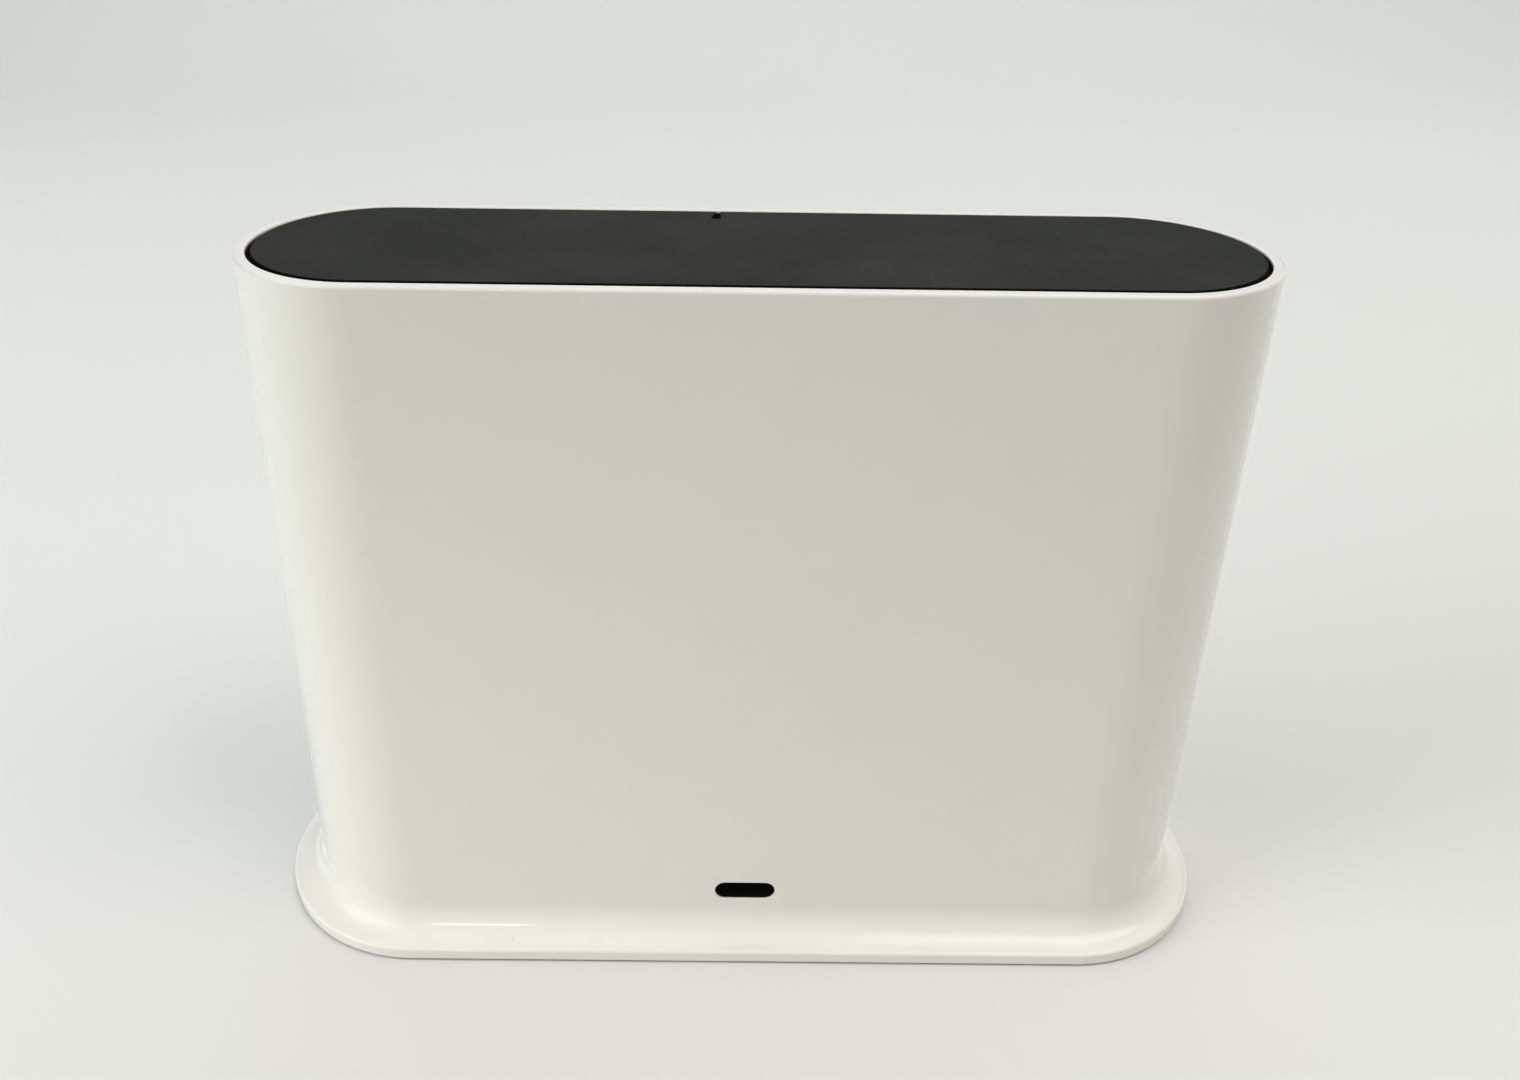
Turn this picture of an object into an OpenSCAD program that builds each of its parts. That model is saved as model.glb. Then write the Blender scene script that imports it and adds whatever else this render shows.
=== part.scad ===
// Upright base station for wireless security cameras: a glossy round-ended sleeve that flares into a
// foot, closed by a dark top cover and a screwed base plate, with its boards and aerials inside.
// X runs along the long side, the front faces -Y, the ports face +Y, and z = 0 is the table.

/* [Body] */
// Width of the sleeve above the foot
body_w = 165; // [150:0.5:190]
// Depth of the sleeve above the foot
body_d = 44; // [43:0.5:56]
// Height from the table to the rim
body_h = 127; // [122:0.5:150]
// Wall of the sleeve, which is also the width of the rim round the top cover
wall = 1.9; // [1.5:0.1:2.4]
// Rounding of the rim's outer edge
rim_round = 0.6; // [0.3:0.1:1]
// Rounding of the rim's inner edge
lip_round = 0.3; // [0.1:0.05:0.5]

/* [Foot] */
// How far the foot reaches past the sleeve on every side
flare = 6; // [5:0.1:8]
// Height of the upright edge of the foot
edge_h = 2.4; // [2.2:0.1:3]
// Rounding of the foot's upper edge
edge_round = 0.6; // [0.3:0.1:1]
// Rounding of the foot's lower edge
under_round = 0.3; // [0.2:0.1:0.6]
// Gap under the foot's edge, where the pads lift it off the table
pad_lift = 0.4; // [0.3:0.1:1]
// Width of the foot's underside left showing round the base plate
foot_lip = 3.4; // [3:0.1:4.5]
// Thickness of the base plate
base_t = 1.9; // [1.7:0.1:2.2]
// Radius of a rubber pad
pad_r = 5; // [4:0.5:6]
// Depth of a pad's recess in the base plate
pad_recess = 0.8; // [0.5:0.1:1]
// Distance between the pads along the long side
pad_pitch_x = 76; // [60:1:90]
// Distance between the pads across the foot
pad_pitch_y = 33; // [26:1:35]
// Number of cooling slots in the base plate
vent_count = 9; // [5:2:11]
// Width of a cooling slot
vent_w = 2.2; // [1.5:0.1:3]
// Length of a cooling slot
vent_l = 20; // [12:1:24]
// Distance from one cooling slot to the next
vent_pitch = 6; // [5:0.5:7]

/* [Top cover] */
// Thickness of the top cover
cover_t = 1.9; // [1.5:0.1:2.5]
// Gap between the top cover and the rim
cover_gap = 0.7; // [0.3:0.05:0.9]
// Depth of the top cover below the rim
cover_drop = 0; // [0:0.05:0.4]
// Rounding of the top cover's upper edge
cover_round = 0.2; // [0.1:0.05:0.6]
// Width of the ledge that carries the top cover
ledge_w = 2.2; // [1.8:0.1:3]
// Thickness of that ledge
ledge_t = 1.8; // [1.4:0.1:2.5]
// Width of a snap hook
hook_w = 8; // [5:0.5:12]
// Distance between the snap hooks along the long side
hook_pitch = 42; // [30:1:50]
// Thickness of a snap hook's stem
hook_t = 1.4; // [1:0.1:1.8]
// Reach of a snap hook's catch under the ledge
hook_reach = 0.7; // [0.5:0.1:1]
// Height of a snap hook's catch
hook_h = 1.6; // [1.2:0.1:2.4]
// Depth of the stiffening ribs under the top cover
rib_h = 2; // [1:0.1:3]
// Thickness of those ribs
rib_t = 1.2; // [0.8:0.1:1.6]
// Place of the release notch along the rear edge
notch_x = -6.9; // [-20:0.1:20]
// Width of the release notch
notch_w = 1.7; // [1:0.1:2.5]
// Depth of the release notch in from the cover's edge
notch_d = 4.4; // [1.5:0.1:5]
// How far the notch's left side leans in towards the edge
notch_lean = 0.9; // [0:0.1:0.9]

/* [Light window] */
// Width of the status light window
light_w = 10.9; // [8:0.1:14]
// Height of the status light window
light_h = 3.8; // [3:0.1:5]
// Height of the window's middle above the table
light_z = 11.8; // [11.5:0.1:14]
// Width of the window's flange inside the wall
light_flange = 1.2; // [0.8:0.1:1.4]
// Thickness of that flange
light_flange_t = 1; // [0.8:0.1:1.4]
// Height of the light guide
guide_h = 3; // [2.4:0.1:3.6]
// Width of the light guide
guide_w = 9; // [7:0.1:11]

/* [Port panel] */
// Width of the opening in the rear wall
port_w = 88; // [84:0.5:94]
// Rounding of that opening's corners
port_round = 3; // [1.5:0.1:4]
// Height of the opening above the top of the network socket
port_head = 3; // [2:0.1:5]
// Thickness of the port panel
panel_t = 1.8; // [1.4:0.1:2.2]
// Overlap of the port panel behind the edge of the opening
panel_lap = 4; // [3:0.1:5]
// Height of the posts that hold the port panel upright
panel_post_h = 12; // [8:0.5:16]

/* [Network socket] */
// Place of the network socket along the long side
net_x = -10; // [-11:0.1:-8]
// Width of the network socket's metal can
net_w = 16; // [15.4:0.1:16.4]
// Height of the can
net_h = 13.4; // [13:0.1:15]
// Length of the can
net_l = 21; // [18:0.1:21.5]
// Sheet thickness of the can
net_sheet = 0.3; // [0.2:0.05:0.4]
// Width of the plug's way in
plug_w = 11.9; // [11.7:0.1:12.2]
// Height of the plug's way in
plug_h = 7; // [6.8:0.1:7.4]
// Depth of the plug's way in
plug_l = 14; // [12:0.1:15]
// Width of the slot for the plug's latch
latch_w = 6.4; // [6:0.1:7]
// Number of contact wires
net_contact_count = 8; // [4:1:8]
// Distance from one contact wire to the next
net_contact_pitch = 1.02; // [0.9:0.01:1.2]
// Thickness of a contact wire
net_contact_t = 0.35; // [0.25:0.05:0.45]

/* [Power socket] */
// Place of the power socket along the long side
power_x = -33; // [-34:0.1:-32.5]
// Width of the power socket
power_w = 9; // [8.4:0.1:9.4]
// Height of the power socket
power_h = 11; // [10.5:0.1:12]
// Length of the power socket
power_l = 14.2; // [13:0.1:14.4]
// Radius of the hole that takes the plug's barrel
barrel_r = 3.15; // [2.9:0.05:3.4]
// Depth of that hole
barrel_l = 9.5; // [8:0.1:10.5]
// Radius of the centre pin
pin_r = 1; // [0.8:0.05:1.25]
// Distance of the pin's tip behind the mouth
pin_set_back = 0.8; // [0.3:0.1:2]

/* [Card socket] */
// Place of the memory card socket along the long side
card_x = 12; // [11:0.1:12.5]
// Width of the card socket
card_w = 14; // [13.4:0.1:14.6]
// Length of the card socket
card_l = 15; // [14:0.1:16]
// Width of the card's way in
card_slot_w = 11.4; // [11.2:0.1:11.8]
// Height of the card's way in
card_slot_h = 1; // [0.9:0.05:1.2]
// Thickness of the socket's floor
card_floor = 0.5; // [0.4:0.05:0.7]
// Sheet thickness of the socket's cover
card_sheet = 0.2; // [0.15:0.05:0.3]
// Travel of the slider that a card pushes in
card_travel = 1.2; // [0.6:0.1:1.5]
// Number of card contacts
card_contact_count = 8; // [6:1:8]
// Distance from one card contact to the next
card_contact_pitch = 1.1; // [1:0.05:1.2]

/* [Buttons] */
// Radius of the sync button
sync_r = 2.7; // [2.2:0.1:3]
// Place of the sync button along the long side
sync_x = 38; // [37.5:0.1:38.5]
// How far the sync button stands out of the port panel
sync_proud = 1.1; // [0.8:0.1:1.5]
// Travel of the sync button
sync_travel = 0.5; // [0.2:0.05:0.8]
// Place of the reset hole along the long side
reset_x = 27; // [26.5:0.1:28]
// Radius of the reset hole
reset_hole_r = 0.9; // [0.7:0.05:1.2]
// Travel of the reset plunger
reset_travel = 0.4; // [0.2:0.05:0.6]
// Side of a switch's square face
switch_w = 6; // [5.6:0.1:6.4]
// Depth of a switch
switch_d = 3.5; // [3:0.1:4]
// Height of a switch's plunger above the port board
switch_axis = 4; // [3.8:0.1:4.4]
// Radius of a switch's plunger
plunger_r = 1.4; // [1:0.1:1.7]

/* [Boards] */
// Thickness of both circuit boards
board_t = 1.6; // [1.2:0.1:2]
// Width of the port board
port_board_w = 87; // [86:0.5:88]
// Depth of the port board
port_board_d = 30; // [30:0.5:31]
// Height of the posts under the port board
post_h = 5.6; // [5:0.1:6.5]
// Radius of those posts
post_r = 2.6; // [2.2:0.1:3]
// Width of the main board
main_w = 130; // [128:0.5:131]
// Height of the main board
main_h = 90; // [84:0.5:91]
// Distance between the main board and the carrier behind the front wall
standoff_h = 4.6; // [4:0.1:5]
// Distance of a corner hole from the main board's edges
hole_inset = 4; // [3.2:0.1:5]
// Width of the tongue that plugs into the port board
tongue_w = 30; // [24:0.5:31]
// Depth of that tongue
tongue_h = 4.4; // [3:0.1:5]

/* [Carrier] */
// Thickness of the carrier that holds the main board
carrier_t = 2; // [1.6:0.1:2.4]
// Width of the carrier's upright rails
rail_w = 13; // [12:0.5:14]
// Width of the carrier's cross rails
cross_w = 8; // [6:0.5:10]
// Reach of the carrier's arms towards the rear
arm_d = 12; // [10:0.5:12.5]
// Depth of the ribs along the carrier's rails
carrier_rib = 2.4; // [1:0.1:3]

/* [Cooling] */
// Side of the processor
chip_w = 17; // [14:0.5:19]
// Thickness of the processor
chip_t = 1.4; // [1.2:0.1:1.6]
// Thickness of the thermal pad on it
thermal_t = 1; // [0.6:0.1:1.4]
// Width of the heat sink
sink_w = 64; // [50:1:70]
// Height of the heat sink
sink_h = 50; // [44:1:52]
// Thickness of the heat sink's base
sink_t = 2.5; // [2:0.1:3]
// Number of fins
fin_count = 11; // [7:1:13]
// Thickness of a fin
fin_t = 1.4; // [1:0.1:2]
// Depth of a fin
fin_d = 9; // [5:0.5:12]

/* [Radio] */
// Height of a side aerial
aerial_h = 62; // [50:1:66]
// Width of an aerial
aerial_w = 18; // [17:0.5:19]
// Thickness of an aerial's board
aerial_t = 0.8; // [0.6:0.1:1]
// Length of the top aerial
top_aerial_l = 84; // [70:1:90]
// Diameter of an aerial lead
coax_d = 1.3; // [1.1:0.1:1.6]
// Width of a radio shield
shield_w = 26; // [20:1:30]
// Height of a radio shield
shield_h = 21; // [16:1:22]
// Depth of a radio shield
shield_d = 2.4; // [1.8:0.1:3]

/* [Fasteners and clearances] */
// Radius of a base screw's shank
screw_r = 1.2; // [1:0.05:1.4]
// Radius of a base screw's head
screw_head_r = 2.6; // [2.2:0.1:2.9]
// Radius of a base screw's boss
boss_r = 3.2; // [2.8:0.1:3.4]
// Height of a base screw's boss
boss_h = 13; // [10:0.5:16]
// Distance between the bosses along the long side
boss_pitch = 112; // [108:0.5:114]
// Radius of a board screw's shank
tap_r = 0.9; // [0.7:0.05:1]
// Radius of a board screw's head
tap_head_r = 1.9; // [1.6:0.1:2.1]
// Height of a board screw's head
tap_head_h = 1.3; // [1:0.1:1.5]
// Clearance between pieces that drop in beside each other
fit_gap = 0.25; // [0.15:0.05:0.35]
// Clearance round a screw or a stake in its hole
bore_gap = 0.06; // [0.04:0.01:0.1]
// Clearance on each side of a piece that slides
slide_gap = 0.12; // [0.08:0.01:0.2]

/* [Hidden] */
$fn = 64;
// Extra length of a cut past the face that it opens
past = 1;
// How deep a rib, post or hook is rooted in the wall that carries it
root_d = 0.5;

// Room left past the tip of a board screw
tap_spare = 0.6;

// Sleeve and foot
span = body_w - body_d;
outer_r = body_d / 2;
inner_r = outer_r - wall;
foot_r = outer_r + flare;
sweep_r = flare - edge_round;
foot_top = pad_lift + edge_h;
sweep_top = foot_top + sweep_r;
recess_r = foot_r - foot_lip;
base_top = pad_lift + base_t;
boss_sink = 0.4;
head_depth = base_t - 0.4;
boss_y = inner_r + boss_sink - boss_r;
boss_bore_r = screw_r + bore_gap;
boss_end = 1.5;

// Top cover
cover_top = body_h - cover_drop;
cover_under = cover_top - cover_t;
ledge_r = inner_r - ledge_w;
ledge_under = cover_under - ledge_t;
hook_y = ledge_r - fit_gap;
catch_top = ledge_under - bore_gap;
rib_clear = 2;

// Boards, stacked forwards from the rear wall
panel_out = inner_r - fit_gap;
panel_in = panel_out - panel_t;
panel_half = max(port_w, port_board_w + 2 * fit_gap) / 2 + panel_lap;
panel_post_d = 2;
boss_x = max(boss_pitch / 2, panel_half + panel_post_d + fit_gap + boss_r);
port_top = base_top + post_h + board_t;
port_rear = panel_in - fit_gap;
port_front = port_rear - port_board_d;
link_end = 2;
link_floor = 1.6;
link_d = 6;
link_inset = 6.7;
link_w = tongue_w + 2 * link_end;
link_h = tongue_h + link_floor;
link_y = port_front + link_inset;
main_front = link_y - board_t / 2;
main_rear = link_y + board_t / 2;
main_low = port_top + link_h + fit_gap;
main_top = main_low + main_h;
hole_x = main_w / 2 - hole_inset;
post_inset = 3.2;
post_pitch = 14.5;
mouth_set = 0.2;
port_sill = 0.6;
post_x = port_board_w / 2 - post_inset;
post_ys = [port_front + post_inset, port_front + post_inset + post_pitch];
mouth = panel_out - mouth_set;
port_low = port_top - port_sill;
port_high = port_top + net_h + port_head;

// Carrier, in front of the main board
carrier_rear = main_front - standoff_h;
carrier_front = carrier_rear - carrier_t;
carrier_reach = 9.5;
carrier_head = 7;
sill_h = 13;
carrier_foot_h = 6;
carrier_foot_d = 9;
foot_screw_inset = 4.4;
stake_r = 0.9;
stake_inset = 5;
aerial_drop = 10;
aerial_set = 1;
carrier_half = max(span / 2 + carrier_reach, main_w / 2 + fit_gap + carrier_t);
carrier_top = max(ledge_under - carrier_head, main_top + fit_gap + carrier_t);
arm_end = carrier_rear + arm_d;
sill_low = port_top + sill_h;
carrier_screw_x = carrier_half - foot_screw_inset;
carrier_screw_y = carrier_front + carrier_foot_d / 2;
stake_y = carrier_rear + stake_inset;
aerial_mid = carrier_top - aerial_drop - aerial_h / 2;
aerial_y = carrier_rear + aerial_set;

// Sockets and switches
net_gap = 0.05;
net_back = mouth - net_l;
latch_h = 1.8;
catch_slot_w = 3.2;
catch_slot_h = 1.4;
plug_sill = 4.4;
plug_low = port_top + plug_sill;
plug_high = plug_low + plug_h;
power_back = mouth - power_l;
barrel_axis = 6.2;
barrel_z = port_top + barrel_axis;
barrel_floor = mouth - barrel_l;
tip_y = mouth - pin_set_back;
pin_step = 0.3;
root_r = pin_r + pin_step;
leaf_w = 2;
leaf_t = 0.3;
card_mouth = port_rear;
card_back = card_mouth - card_l;
card_top = port_top + card_floor + card_slot_h;
card_contact_t = 0.15;
slider_low = port_top + card_floor + card_contact_t + slide_gap;
slider_high = card_top - slide_gap;
slider_l = 1.8;
card_back_t = 1.2;
slider_rear = card_back + card_back_t + card_travel + slide_gap;
switch_z = port_top + switch_axis;
switch_h = switch_axis + switch_w / 2;
sync_flange = 0.9;
sync_flange_t = 1;
sync_back = panel_in - fit_gap - sync_flange_t;
sync_plunger_l = 1.6;
sync_switch_face = sync_back - sync_plunger_l;
reset_plunger_l = 1.8;
reset_switch_face = panel_in - fit_gap - reset_plunger_l;

// Status light
window_back = -inner_r + light_flange_t;
guide_front = window_back + fit_gap;
led_inset = 2.4;
led_face = port_front + led_inset;
guide_rear = led_face - fit_gap;
led_count = 2;
led_pitch = 4;
led_size = [2.8, 1, 1.6];

// Aerial leads
plug_r = 1.5;
plug_l_out = 1.6;
lead_drop = 9;
lead_reach = 12;
lead_exit = 3;
lead_inset = 12;
lead_clear = 0.35;
side_lead_x = hole_x - lead_inset;
lead_z = main_top - lead_drop;
top_lead_x = 30;
lead_steps = 22;
lead_sides = 8;

// Cooling, under the aerial leads
sink_top = lead_z - coax_d / 2 - lead_clear;
chip_z = sink_top - sink_h / 2;
pad_rear = main_rear + chip_t + thermal_t;
sink_hole_inset = 4;
sink_screw_x = sink_w / 2 - sink_hole_inset;
sink_screw_z = sink_h / 2 - sink_hole_inset;
sink_boss_r = 2.5;
sink_skin = 0.6;
memory_size = [8, 1.1, 12];
memory_gap = 4;
shield_sheet = 0.25;
shield_pitch = 40;
shield_z = (main_low + chip_z - sink_screw_z - tap_head_r) / 2;

// Shared shapes

// Carries a half profile (radius, height) round the body's round-ended plan
module round_ended() {
    for (turn = [0, 180])
        rotate(turn) translate([span / 2, 0, 0]) rotate(-90) rotate_extrude(angle = 180) children();
    rotate([90, 0, 90]) translate([0, 0, -span / 2]) linear_extrude(span) {
        children();
        mirror([1, 0]) children();
    }
}

// A block between two opposite corners
module block(low, high) {
    translate(low) cube(high - low);
}

// A round bar along Y, from its low end
module bar_y(r, low, high, x, z) {
    translate([x, high, z]) rotate([90, 0, 0]) cylinder(r = r, h = high - low);
}

// A flat shape in X and Z carried along Y
module plate_y(low, high) {
    translate([0, high, 0]) rotate([90, 0, 0]) linear_extrude(high - low) children();
}

// A rectangle with round corners, from its low corner
module round_rect(low, size, r) {
    translate(low + [r, 0]) square([size[0] - 2 * r, size[1]]);
    translate(low + [0, r]) square([size[0], size[1] - 2 * r]);
    for (x = [r, size[0] - r], y = [r, size[1] - r]) translate(low + [x, y]) circle(r = r);
}

// A slot with round ends, centred
module pill(w, h) {
    square([w - h, h], center = true);
    for (s = [-1, 1]) translate([s * (w - h) / 2, 0]) circle(r = h / 2);
}

// Puts a child at the four corners of a rectangle in plan
module at_corners(pitch_x, pitch_y) {
    for (sx = [-1, 1], sy = [-1, 1]) translate([sx * pitch_x / 2, sy * pitch_y / 2, 0]) children();
}

// Puts a child at every place where a screw comes up through the base plate
module at_base_screws() {
    at_corners(2 * boss_x, 2 * boss_y) children();
    for (s = [-1, 1]) translate([s * carrier_screw_x, carrier_screw_y, 0]) children();
}

// A pan-headed screw along Z, head upwards, with its seat at z = 0
module pan_screw(grip) {
    cylinder(r = tap_head_r, h = tap_head_h);
    translate([0, 0, -grip]) cylinder(r = tap_r, h = grip);
}

// Sleeve

// The solid outline of sleeve and foot: a concave sweep leads from the wall to the foot's edge
module outer_profile() {
    difference() {
        union() {
            translate([0, pad_lift]) square([outer_r, body_h - rim_round - pad_lift]);
            translate([0, pad_lift]) square([outer_r - rim_round, body_h - pad_lift]);
            translate([outer_r - rim_round, body_h - rim_round]) circle(r = rim_round);
            translate([0, pad_lift]) square([outer_r + sweep_r, sweep_top - pad_lift]);
            translate([0, pad_lift]) square([foot_r - under_round, edge_h - edge_round]);
            translate([0, pad_lift + under_round]) square([foot_r, edge_h - edge_round - under_round]);
            translate([foot_r - edge_round, foot_top - edge_round]) circle(r = edge_round);
            translate([foot_r - under_round, pad_lift + under_round]) circle(r = under_round);
        }
        translate([outer_r + sweep_r, sweep_top]) circle(r = sweep_r);
    }
}

// The hollow behind the sweep, which keeps the wall's thickness down to the base plate
module sweep_hollow() {
    difference() {
        translate([0, base_top - past]) square([outer_r + sweep_r, sweep_top - base_top + past]);
        translate([outer_r + sweep_r, sweep_top]) circle(r = sweep_r + wall);
        translate([recess_r, 0]) square([foot_r, body_h]);
    }
}

// The same outline hollowed for the boards, the base plate and the top cover
module sleeve_profile() {
    difference() {
        outer_profile();
        translate([-past, pad_lift - past]) square([inner_r + past, ledge_under - pad_lift + past]);
        translate([-past, ledge_under - past]) square([ledge_r + past, body_h]);
        translate([-past, cover_under]) square([inner_r + past, body_h]);
        difference() {
            translate([0, body_h - lip_round]) square([inner_r + lip_round, body_h]);
            translate([inner_r + lip_round, body_h - lip_round]) circle(r = lip_round);
        }
        translate([-past, pad_lift - past]) square([recess_r + past, base_t + past]);
        sweep_hollow();
    }
}

module outer_shell() {
    web_t = 1.4;
    web_h = 8;
    web_d = boss_r;
    color("whitesmoke") difference() {
        union() {
            round_ended() sleeve_profile();
            at_corners(2 * boss_x, 2 * boss_y)
                translate([0, 0, base_top]) cylinder(r = boss_r, h = boss_h);
            for (sx = [-1, 1], turn = [0, 180])
                rotate(turn) translate([sx * boss_x + web_t / 2, inner_r + boss_sink, 0])
                    rotate([90, 0, -90]) linear_extrude(web_t)
                        translate([0, base_top + boss_h - boss_sink])
                            polygon([[0, 0], [web_d, 0], [0, web_h]]);
        }
        at_corners(2 * boss_x, 2 * boss_y)
            translate([0, 0, base_top - past]) cylinder(r = boss_bore_r, h = boss_h - boss_end + past);
        plate_y(-outer_r - past, -inner_r + past)
            translate([0, light_z]) pill(light_w, light_h);
        plate_y(inner_r - past, foot_r + past)
            round_rect([-port_w / 2, port_low], [port_w, port_high - port_low], port_round);
    }
}

// Top cover

module cover_hook() {
    low = catch_top - hook_h;
    root = cover_under + root_d;
    translate([-hook_w / 2, 0, 0]) rotate([90, 0, 90]) linear_extrude(hook_w)
        polygon([[hook_y - hook_t, root], [hook_y, root], [hook_y, catch_top],
            [hook_y + hook_reach, catch_top], [hook_y, low], [hook_y - hook_t, low]]);
}

module top_cover() {
    cover_r = inner_r - cover_gap;
    rib_y = hook_y - hook_t - rib_clear;
    rib_half = span / 2;
    rib_low = cover_under - rib_h;
    rib_root = cover_under + root_d;
    color("dimgray") difference() {
        union() {
            round_ended() {
                translate([0, cover_under]) square([cover_r, cover_t - cover_round]);
                translate([0, cover_under]) square([cover_r - cover_round, cover_t]);
                translate([cover_r - cover_round, cover_top - cover_round]) circle(r = cover_round);
            }
            for (turn = [0, 180], i = [-1 : 1]) rotate(turn) translate([i * hook_pitch, 0, 0]) cover_hook();
            for (i = [-2 : 2])
                translate([i * rib_half / 2, 0, 0])
                    block([-rib_t / 2, -rib_y, rib_low], [rib_t / 2, rib_y, rib_root]);
            block([-rib_half, -rib_t / 2, rib_low], [rib_half, rib_t / 2, rib_root]);
        }
        translate([notch_x, cover_r, rib_low]) linear_extrude(rib_h + cover_t + past)
            polygon([[-notch_w / 2, -notch_d], [notch_w / 2, -notch_d], [notch_w / 2, past],
                [notch_lean - notch_w / 2, past], [notch_lean - notch_w / 2, 0]]);
    }
}

// Base

module base_plate() {
    seat_gap = fit_gap / 2;
    root = base_top - root_d;
    color("gainsboro") difference() {
        union() {
            round_ended() translate([0, pad_lift]) square([recess_r - fit_gap, base_t]);
            for (sx = [-1, 1], y = post_ys)
                translate([sx * post_x, y, root]) cylinder(r = post_r, h = post_h + root_d);
            for (s = [0, 1]) mirror([s, 0, 0]) {
                block([panel_half - panel_lap, panel_in - panel_post_d - seat_gap, root],
                    [panel_half + panel_post_d, panel_in - seat_gap, base_top + panel_post_h]);
                block([panel_half + seat_gap, panel_in - panel_post_d, root],
                    [panel_half + panel_post_d, panel_out, base_top + panel_post_h]);
            }
        }
        at_base_screws() {
            translate([0, 0, pad_lift - past]) cylinder(r = screw_r + fit_gap, h = base_t + 2 * past);
            translate([0, 0, pad_lift]) cylinder(r1 = screw_head_r + bore_gap, r2 = screw_r, h = head_depth);
        }
        at_corners(pad_pitch_x, pad_pitch_y)
            translate([0, 0, pad_lift - past]) cylinder(r = pad_r + fit_gap, h = pad_recess + past);
        for (i = [0 : vent_count - 1])
            translate([(i - (vent_count - 1) / 2) * vent_pitch, 0, pad_lift - past])
                linear_extrude(base_t + 2 * past) rotate(90) pill(vent_l, vent_w);
        for (sx = [-1, 1], y = post_ys)
            translate([sx * post_x, y, base_top]) cylinder(r = tap_r + bore_gap, h = post_h + past);
    }
}

module foot_pads() {
    color("dimgray") at_corners(pad_pitch_x, pad_pitch_y) cylinder(r = pad_r, h = pad_lift + pad_recess);
}

module base_screws() {
    head_drop = 0.2;
    shank_l = base_t + carrier_foot_h - boss_end;
    drive_r = 1.1;
    drive_d = 0.7;
    color("silver") at_base_screws() difference() {
        union() {
            translate([0, 0, pad_lift + head_drop])
                cylinder(r1 = screw_head_r - head_drop, r2 = screw_r, h = head_depth - head_drop);
            translate([0, 0, pad_lift + head_drop]) cylinder(r = screw_r, h = shank_l);
        }
        for (turn = [0, 90]) rotate(turn)
            block([-drive_r, -drive_d / 2, pad_lift], [drive_r, drive_d / 2, pad_lift + head_drop + drive_d]);
    }
}

// Status light

module light_window() {
    inset = 0.1;
    color("black") {
        plate_y(-outer_r + inset, window_back)
            translate([0, light_z]) pill(light_w - 2 * inset, light_h - 2 * inset);
        plate_y(-inner_r, window_back)
            translate([0, light_z]) pill(light_w + 2 * light_flange, light_h + 2 * light_flange);
    }
}

module light_guide() {
    leg_w = 1.6;
    leg_d = 1.8;
    low = light_z - guide_h / 2;
    high = light_z + guide_h / 2;
    led_low = port_top + 0.4;
    color("aliceblue") {
        translate([-guide_w / 2, 0, 0]) rotate([90, 0, 90]) linear_extrude(guide_w)
            polygon([[guide_front, low], [port_front, low], [guide_rear, led_low], [guide_rear, high],
                [guide_front, high]]);
        for (s = [0, 1]) mirror([s, 0, 0])
            block([guide_w / 2 - root_d, guide_rear - leg_d, port_top],
                [guide_w / 2 + leg_w, guide_rear, high]);
    }
}

module status_leds() {
    color("ivory") for (i = [0 : led_count - 1])
        translate([(i - (led_count - 1) / 2) * led_pitch, led_face, port_top])
            translate([-led_size[0] / 2, 0, 0]) cube(led_size);
}

// Port panel

module port_panel() {
    scoop_r = 8;
    scoop_d = 1;
    scoop_over = 2.4;
    color("dimgray") difference() {
        plate_y(panel_in, panel_out) difference() {
            translate([-panel_half, base_top]) square([2 * panel_half, port_high + panel_lap - base_top]);
            translate([net_x - net_w / 2 - fit_gap, port_top - fit_gap])
                square([net_w + 2 * fit_gap, net_h + 2 * fit_gap]);
            translate([power_x - power_w / 2 - fit_gap, port_top - fit_gap])
                square([power_w + 2 * fit_gap, power_h + 2 * fit_gap]);
            translate([card_x - card_slot_w / 2 - fit_gap, port_top + card_floor - fit_gap])
                square([card_slot_w + 2 * fit_gap, card_slot_h + 2 * fit_gap]);
            translate([reset_x, switch_z]) circle(r = reset_hole_r);
            translate([sync_x, switch_z]) circle(r = sync_r + slide_gap);
        }
        translate([card_x, panel_out + scoop_r - scoop_d, port_low])
            cylinder(r = scoop_r, h = card_top + scoop_over - port_low);
    }
}

// Port board and what is on it

module port_board() {
    color("darkgreen") difference() {
        block([-port_board_w / 2, port_front, port_top - board_t], [port_board_w / 2, port_rear, port_top]);
        for (sx = [-1, 1], y = post_ys)
            translate([sx * post_x, y, 0]) cylinder(r = tap_r + fit_gap, h = body_h);
    }
}

module port_board_screws() {
    color("silver") for (sx = [-1, 1], y = post_ys)
        translate([sx * post_x, y, port_top]) pan_screw(board_t + post_h - tap_spare);
}

module net_can() {
    color("lightgray") translate([net_x, 0, 0]) difference() {
        block([-net_w / 2, net_back, port_top], [net_w / 2, mouth, port_top + net_h]);
        block([-net_w / 2 + net_sheet, net_back + net_sheet, port_top - past],
            [net_w / 2 - net_sheet, mouth + past, port_top + net_h - net_sheet]);
    }
}

module net_insert() {
    half = net_w / 2 - net_sheet - net_gap;
    back = mouth - plug_l;
    color("black") translate([net_x, 0, 0]) difference() {
        block([-half, net_back + net_sheet + net_gap, port_top],
            [half, mouth - net_gap, port_top + net_h - net_sheet - net_gap]);
        block([-plug_w / 2, back, plug_low], [plug_w / 2, mouth + past, plug_high]);
        block([-latch_w / 2, back, plug_low - latch_h], [latch_w / 2, mouth + past, plug_low + past]);
        block([-catch_slot_w / 2, back, plug_low - latch_h - catch_slot_h],
            [catch_slot_w / 2, mouth + past, plug_low]);
    }
}

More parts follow.
